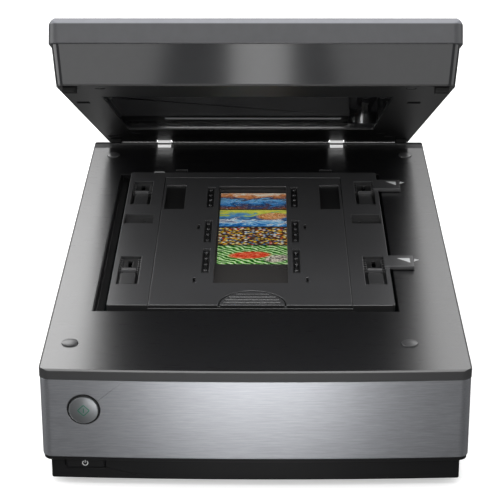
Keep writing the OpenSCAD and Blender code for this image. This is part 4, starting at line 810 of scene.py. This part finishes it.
class SCANNER_OT_buttons(ScannerOperator, bpy.types.Operator):
    """Domed start button, power button and their symbols"""
    bl_idname = "scanner.buttons"
    bl_label = "Buttons"

    def build(self, sizes, scene):
        low, high = (np.array(v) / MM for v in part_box("start_button"))
        mid = (low + high) / 2
        radius = (high[0] - low[0]) / 2
        # heights in mm, and the stem as a share of the button's radius
        dome, skirt, stem = 0.9, 6.0, 0.28
        dome_r = (radius ** 2 + dome ** 2) / (2 * dome)

        def out_at(r):
            """Height of the dome over its rim at a distance from its middle: a sphere's cap."""
            return dome - dome_r + np.sqrt(dome_r ** 2 - r ** 2)

        rings = radius * np.linspace(0, 0.955, 14)
        stem_end = low[1] - high[1] + dome
        rim = [(0.985, 0.12), (1.0, -0.2), (1.0, -skirt), (stem, -skirt), (stem, stem_end),
               (0.0, stem_end)]
        scales = [*(rings / radius), *[s for s, _ in rim]]
        heights = [*out_at(rings), *[h for _, h in rim]]
        points, faces = turned_surface(circle_outline(radius), scales, heights)
        face_y = low[1] + dome

        def stand(flat):
            """Turns a face-up surface to face the front, on the button's middle."""
            return np.stack([mid[0] + flat[..., 0], face_y - flat[..., 2],
                             mid[2] + flat[..., 1]], -1)

        new_piece("start_button_dome", (stand(points), faces), FINISHES["start"],
                  "start_button", ("start_button",))
        half = sizes.start_symbol / MM
        stroke = sizes.stroke / MM
        rise = sizes.print_rise / MM
        corners = half * np.array([(0, 1), (1, 0), (0, -1), (-1, 0)])
        diamond = soft_corners(corners, 0.7)
        bar = np.stack([np.zeros(9), np.linspace(-0.42, 0.42, 9) * half], -1)
        bands = []
        for path, closed in ((diamond, True), (bar, False)):
            r = np.linalg.norm(path, axis=1)
            spots = np.concatenate([path, out_at(r)[:, None]], 1)
            ups = np.concatenate([path / dome_r, np.ones((len(path), 1))], 1)
            ups /= np.linalg.norm(ups, axis=1, keepdims=True)
            bands.append(swept_band(spots, ups, stroke, rise, closed))
        points, faces = joined(*bands)
        new_piece("start_symbol", (stand(points), faces), FINISHES["start_symbol"],
                  "start_button")
        self.standby(sizes)

    def standby(self, sizes):
        """Power key with the standby symbol: a ring that is open at its top, from the cosine
        and sine of 125 to 415 degrees, and a bar in the gap."""
        rounded_copy("power_button", "power_key", FINISHES["plinth"], sizes.edge)
        low, high = (np.array(v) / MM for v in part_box("power_button"))
        middle = np.array([(low[0] + high[0]) / 2, low[1], (low[2] + high[2]) / 2])
        radius = sizes.standby_symbol / MM
        a = np.radians(np.linspace(125, 415, 40))
        ring = radius * np.stack([np.cos(a), np.sin(a)], -1)
        bar = np.stack([np.zeros(7), np.linspace(0.15, 1.25, 7) * radius], -1)
        bands = []
        for path in (ring, bar):
            spots = np.stack([path[:, 0], np.zeros(len(path)), path[:, 1]], -1) + middle
            ups = np.broadcast_to([0.0, -1.0, 0.0], spots.shape)
            bands.append(swept_band(spots, ups, sizes.stroke / MM * 0.85, sizes.print_rise / MM))
        new_piece("standby_symbol", joined(*bands), FINISHES["print_white"],
                  "power_button")


class SCANNER_OT_caps(ScannerOperator, bpy.types.Operator):
    """Four round caps on the top surface, each a low dome with a rounded rim"""
    bl_idname = "scanner.caps"
    bl_label = "Round caps"

    def build(self, sizes, scene):
        mesh = frame["nodes"]["top_caps"].data
        places = np.empty(len(mesh.vertices) * 3)
        mesh.vertices.foreach_get("co", places)
        places = places.reshape(-1, 3) / MM
        # a crown that falls with the square of the distance, a rounded rim and a flat root
        r = np.linspace(0, 0.9, 8)
        scales = [*r, 0.97, 1.0, 1.0, 0.0]
        heights = [*(1.5 - 0.5 * r ** 2), 0.9, 0.5, -1.0, -1.0]
        caps = []
        for right, rear in ((False, False), (False, True), (True, False), (True, True)):
            own = places[((places[:, 0] > 0) == right) & ((places[:, 1] > 0) == rear)]
            low, high = own.min(0), own.max(0)
            rim = circle_outline((high[0] - low[0]) / 2, 40)
            one, faces = turned_surface(rim, scales, heights)
            caps.append((one + [*(low + high)[:2] / 2, TOP], faces))
        new_piece("cap_domes", joined(*caps), FINISHES["caps"], "base",
                  ("top_caps",))


class SCANNER_OT_lid(ScannerOperator, bpy.types.Operator):
    """Lid housings, window, pads and the drive behind the window"""
    bl_idname = "scanner.lid"
    bl_label = "Lid"

    def build(self, sizes, scene):
        rounded_copy("lid_top_cover", "lid_top_shell", FINISHES["lid_top"], sizes.edge * 1.4)
        rounded_copy("lid_case", "lid_case_shell", FINISHES["lid_case"], sizes.edge * 0.4)
        rounded_copy("lid_pads", "corner_pads", FINISHES["rubber"], sizes.edge)
        rounded_copy("lamp_carriage", "lamp_carriage_body", FINISHES["plinth"], sizes.edge)
        for node, finish in (
                ("lid_window", "smoked"), ("lid_screws", "steel"), ("lid_rod", "chrome"),
                ("lid_belt", "rubber"), ("lid_motor", "steel"), ("lid_board", "steel"),
                ("lid_spring", "steel"), ("lid_pulley", "white"), ("lid_idler", "white"),
                ("lid_lamp", "lamp")):
            dress(node, FINISHES[finish])


class SCANNER_OT_hinge(ScannerOperator, bpy.types.Operator):
    """Hinge posts with painted highlights, their pins and sockets"""
    bl_idname = "scanner.hinge"
    bl_label = "Hinge"

    def build(self, sizes, scene):
        rounded_copy("hinge_posts", "hinge_post_pair", FINISHES["posts"], sizes.edge)
        dress("hinge_pins", FINISHES["chrome"])
        dress("hinge_sockets", FINISHES["plinth"])


class SCANNER_OT_holder(ScannerOperator, bpy.types.Operator):
    """Film holder, its cover and height adjusters"""
    bl_idname = "scanner.holder"
    bl_label = "Film holder"

    def build(self, sizes, scene):
        rounded_copy("film_holder", "holder_frame", FINISHES["holder"], sizes.fine_edge)
        rounded_copy("film_cover", "holder_cover", FINISHES["holder"], sizes.fine_edge)
        for side in ("front_left", "front_right", "rear_left", "rear_right"):
            rounded_copy(f"adjuster_{side}", f"height_slider_{side}", FINISHES["holder"],
                         sizes.fine_edge)
        dress("film_support", FINISHES["clear"])


FILM_X = (-32.1, 25.1)
PICTURES = (
    ("leaf", (-55.0, -16.4), paint_leaf), ("beads", (-14.1, 23.6), paint_beads),
    ("coast", (25.9, 63.5), paint_coast), ("evening", (65.7, 103.7), paint_evening),
)


class SCANNER_OT_film(ScannerOperator, bpy.types.Operator):
    """Strip of roll film with four developed pictures"""
    bl_idname = "scanner.film"
    bl_label = "Film"

    def build(self, sizes, scene):
        low, high = (np.array(v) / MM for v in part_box("film_strip"))
        curl = 0.12

        def rise_at(x):
            """Curl of the film: a parabola across its width."""
            t = (x - low[0]) / (high[0] - low[0]) * 2 - 1
            return curl * (1 - t ** 2)

        new_piece("film_base", self.strip(low[0], high[0], low[1], high[1], low[2], high[2],
                                          rise_at),
                  FINISHES["film"], "holder", ("film_strip",))
        for name, (y0, y1), paint in PICTURES:
            finish = picture(f"picture_{name}", (FILM_X[0], y0), (FILM_X[1], y1), paint)
            new_piece(f"film_picture_{name}",
                      self.strip(*FILM_X, y0, y1, high[2] - 0.05, high[2] + 0.02, rise_at),
                      finish, "holder")

    def strip(self, x0, x1, y0, y1, z0, z1, rise_at):
        """Closed thin sheet: a loop of points round its section, carried along Y, where the
        upper and lower sides follow the arch of rise_at."""
        x = np.linspace(x0, x1, 25)
        loop_x = np.concatenate([x, x[::-1]])
        loop_z = np.concatenate([np.full(25, z0), np.full(25, z1)]) + rise_at(loop_x)
        y = np.linspace(y0, y1, 9)
        points = np.stack(np.broadcast_arrays(loop_x[None], y[:, None], loop_z[None]), -1)
        ends = points.copy()
        ends[..., 2] = (z0 + z1) / 2 + rise_at(loop_x)[None]
        points = np.concatenate([ends[:1], points, ends[-1:]])
        rows, columns = points.shape[:2]
        return points.reshape(-1, 3), grid_faces(rows, columns, closed=True)


class SCANNER_OT_marks(ScannerOperator, bpy.types.Operator):
    """Plain white marks that show where the holder lies"""
    bl_idname = "scanner.marks"
    bl_label = "Alignment marks"

    def build(self, sizes, scene):
        rise = sizes.print_rise / MM
        for name, z, body, shapes in (
                ("holder_marks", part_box("film_holder")[1].z / MM, "holder",
                 [[(112.8, 121.4), (121.6, 120.8), (121.6, 112.6)],
                  [(112.0, -53.2), (122.2, -53.0), (122.2, -62.4)]]),
                ("base_marks", TOP, "base",
                 [[(125.2, 125.4), (130.0, 128.8), (126.4, 131.6)],
                  [(125.8, -51.2), (130.4, -47.8), (126.8, -45.2)]])):
            flats = [self.flat_mark(soft_corners(s, 0.4), z, rise) for s in shapes]
            new_piece(name, joined(*flats), FINISHES["print_white"], body)
        pill = pill_outline(9.6, 4.2) + [-89.0, 154.6]
        new_piece("clip_mark", self.flat_mark(pill, TOP, rise), FINISHES["print_white"],
                  "base")

    def flat_mark(self, outline, z, rise):
        """Low plate over an outline: rings from its root to its top, which has a bevel."""
        middle = outline.mean(0)
        points, faces = turned_surface(outline - middle, (0.0, 1.0, 1.0, 0.97, 0.0),
                                       (-rise, -rise, rise * 0.6, rise, rise))
        return points + [middle[0], middle[1], z], faces


class SCANNER_OT_inside(ScannerOperator, bpy.types.Operator):
    """Finishes of the parts that stay as the CAD has them"""
    bl_idname = "scanner.inside"
    bl_label = "Inner and small parts"

    def build(self, sizes, scene):
        for finish, nodes in (
                ("plinth", ("power_inlet", "scan_carriage", "lens_pair", "transport_lock")),
                ("rubber", ("rubber_feet", "drive_belt")),
                ("white", ("calibration_strip", "scan_pulley", "scan_idler")),
                ("steel", ("tray_screws", "usb_socket", "lid_socket", "scan_motor",
                           "slide_rail", "idler_bracket")),
                ("chrome", ("guide_rod",)), ("bronze", ("carriage_bushes",)),
                ("lamp", ("scan_lamp",)), ("mirror", ("scan_mirrors",)),
                ("main_board", ("main_board",)),
                ("sensor_board", ("sensor_board", "button_board"))):
            for node in nodes:
                dress(node, FINISHES[finish])


class SCANNER_OT_stage(bpy.types.Operator):
    """Pale floor, soft studio light and the camera"""
    bl_idname = "scanner.stage"
    bl_label = "Studio"

    def execute(self, context):
        scene = context.scene
        studio = scene.scanner_studio
        self.floor()
        self.surroundings(scene, studio.sky)
        # place, target, width, height and radiance of each soft light
        for name, place, target, size, radiance in (
                ("rear_left", (-1.0, 1.75, 1.27), (-0.4, 0.0, 0.1), (1.7, 0.95), 3.45),
                ("rear_right", (1.0, 1.75, 1.27), (0.4, 0.0, 0.1), (1.7, 0.95), 2.05),
                ("overhead", (0.0, 0.2, 2.1), (0.0, 0.0, 0.1), (1.6, 2.0), 2.6),
                ("front_high", (0.0, -1.15, 1.75), (0.0, -0.1, 0.1), (2.0, 0.5), 3.8),
                ("front_middle", (-0.003, -1.8, 1.22), (0.0, -0.25, 0.25), (0.10, 0.6), 4.7),
                ("front_left", (-0.64, -1.8, 1.22), (0.0, -0.25, 0.25), (1.0, 0.6), 1.9),
                ("front_right", (0.59, -1.8, 1.22), (0.0, -0.25, 0.25), (1.0, 0.6), 1.5),
                ("side_left", (-1.2, -0.2, 0.45), (0.0, 0.0, 0.1), (0.9, 0.6), 3.0),
                ("side_right", (1.2, -0.2, 0.45), (0.0, 0.0, 0.1), (0.9, 0.6), 1.5),
                ("lid_inside", (-0.006, -0.098, 0.279), (-0.006, 0.0, 0.235), (0.18, 0.02), 12.0),
                ("table_card", (0.0, -0.46, 0.012), (0.0, -0.32, 0.3), (0.16, 0.22), 9.6)):
            self.soft_light(scene, name, place, target, size, radiance)
        self.camera(scene, studio)
        return {"FINISHED"}

    def floor(self):
        """Wide flat floor, as a grid of nine points."""
        x, y = np.meshgrid([-6.0, 0.0, 6.0], [-6.0, 0.0, 6.0])
        points = np.stack([x, y, np.zeros_like(x)], -1).reshape(-1, 3)
        mesh = bpy.data.meshes.new("studio_floor")
        mesh.from_pydata(points.tolist(), [], grid_faces(3, 3).tolist())
        made = Finish("floor_paper", Specular_IOR_Level=0.1)
        paper = made.effect(moulded_grain, Grains=40.0)
        tone = made.shades(paper["Shade"], (0.86, 0.86, 0.86), (0.90, 0.90, 0.90))
        seen = made.add("ShaderNodeLightPath").outputs["Is Camera Ray"]
        made.feed("Base Color", made.shades(seen, (0.12, 0.12, 0.12), tone))
        made.feed("Emission Color", tone)
        made.feed("Emission Strength", made.span(seen, 0.0, 1.0, 0.0, 0.5))
        made.feed("Roughness", made.span(paper["Height"], 0.2, 0.8, 0.7, 0.8))
        mesh.materials.append(made.material)
        floor = bpy.data.objects.new("studio_floor", mesh)
        bpy.context.scene.collection.objects.link(floor)

    def surroundings(self, scene, sky):
        """White backdrop for the camera, and an even soft sky for the light."""
        world = bpy.data.worlds.new("studio_sky")
        world.use_nodes = True
        tree = world.node_tree
        tree.nodes.clear()
        ray = tree.nodes.new("ShaderNodeLightPath")
        level = node_in(tree, "ShaderNodeMapRange", {"Value": ray.outputs["Is Camera Ray"],
                         "To Min": sky, "To Max": 1.0})
        glow = node_in(tree, "ShaderNodeBackground", {"Strength": level.outputs["Result"],
                        "Color": (1.0, 1.0, 1.0, 1.0)})
        end = tree.nodes.new("ShaderNodeOutputWorld")
        tree.links.new(glow.outputs[0], end.inputs["Surface"])
        scene.world = world

    def soft_light(self, scene, name, place, target, size, radiance):
        """Rectangular light whose power gives the wanted radiance over its size."""
        light = bpy.data.lights.new(name, "AREA")
        light.shape = "RECTANGLE"
        light.size, light.size_y = size
        light.energy = radiance * math.pi * size[0] * size[1]
        lamp = bpy.data.objects.new(name, light)
        lamp.location = place
        lamp.rotation_euler = (Vector(target) - Vector(place)).to_track_quat("-Z", "Y").to_euler()
        lamp.visible_camera = False
        scene.collection.objects.link(lamp)

    def camera(self, scene, studio):
        """Camera at the photo's place: tilted down, turned left and rolled a little."""
        lens = bpy.data.cameras.new("photo_camera")
        lens.lens, lens.sensor_width = studio.lens, 36.0
        down, turn, roll = studio.camera_down, studio.camera_turn, studio.camera_roll
        right = Vector((1, 0, 0))
        up = Vector((0, math.sin(down), math.cos(down)))
        forward = Vector((0, math.cos(down), -math.sin(down)))
        spin = Matrix.Rotation(turn, 3, "Z")
        right, up, forward = spin @ right, spin @ up, spin @ forward
        right, up = (math.cos(roll) * right + math.sin(roll) * up,
                     math.cos(roll) * up - math.sin(roll) * right)
        pose = Matrix((right, up, -forward)).transposed().to_4x4()
        pose.translation = Vector(studio.camera_place)
        camera = bpy.data.objects.new("photo_camera", lens)
        camera.matrix_world = pose
        scene.collection.objects.link(camera)
        scene.camera = camera
        scene.view_settings.view_transform = "Standard"


OPERATORS = (
    SCANNER_OT_base, SCANNER_OT_panel, SCANNER_OT_buttons, SCANNER_OT_caps, SCANNER_OT_lid,
    SCANNER_OT_hinge, SCANNER_OT_holder, SCANNER_OT_film, SCANNER_OT_marks, SCANNER_OT_inside,
    SCANNER_OT_stage,
)


class SCANNER_PT_looks(bpy.types.Panel):
    """Lists the scanner's settings and its operators"""
    bl_idname = "SCANNER_PT_looks"
    bl_label = "Film scanner"
    bl_space_type = "VIEW_3D"
    bl_region_type = "UI"
    bl_category = "Scanner"

    def draw(self, context):
        for settings in (context.scene.scanner_colours, context.scene.scanner_sizes,
                         context.scene.scanner_studio):
            box = self.layout.box()
            for label in settings.__annotations__:
                box.prop(settings, label)
        for operator in OPERATORS:
            self.layout.operator(operator.bl_idname)


SETTINGS = {"scanner_colours": ScannerColours, "scanner_sizes": ScannerSizes,
            "scanner_studio": ScannerStudio}
CLASSES = (*SETTINGS.values(), *OPERATORS, SCANNER_PT_looks)


def register():
    for cls in CLASSES:
        bpy.utils.register_class(cls)
    for name, cls in SETTINGS.items():
        setattr(bpy.types.Scene, name, PointerProperty(type=cls))


def unregister():
    for name in SETTINGS:
        delattr(bpy.types.Scene, name)
    for cls in reversed(CLASSES):
        bpy.utils.unregister_class(cls)


def main():
    """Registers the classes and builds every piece."""
    register()
    for operator in OPERATORS:
        group, name = operator.bl_idname.split(".")
        result = getattr(getattr(bpy.ops, group), name)()
        if result != {"FINISHED"}:
            raise RuntimeError(f"{operator.bl_idname} did not finish")


if __name__ == "__main__":
    main()
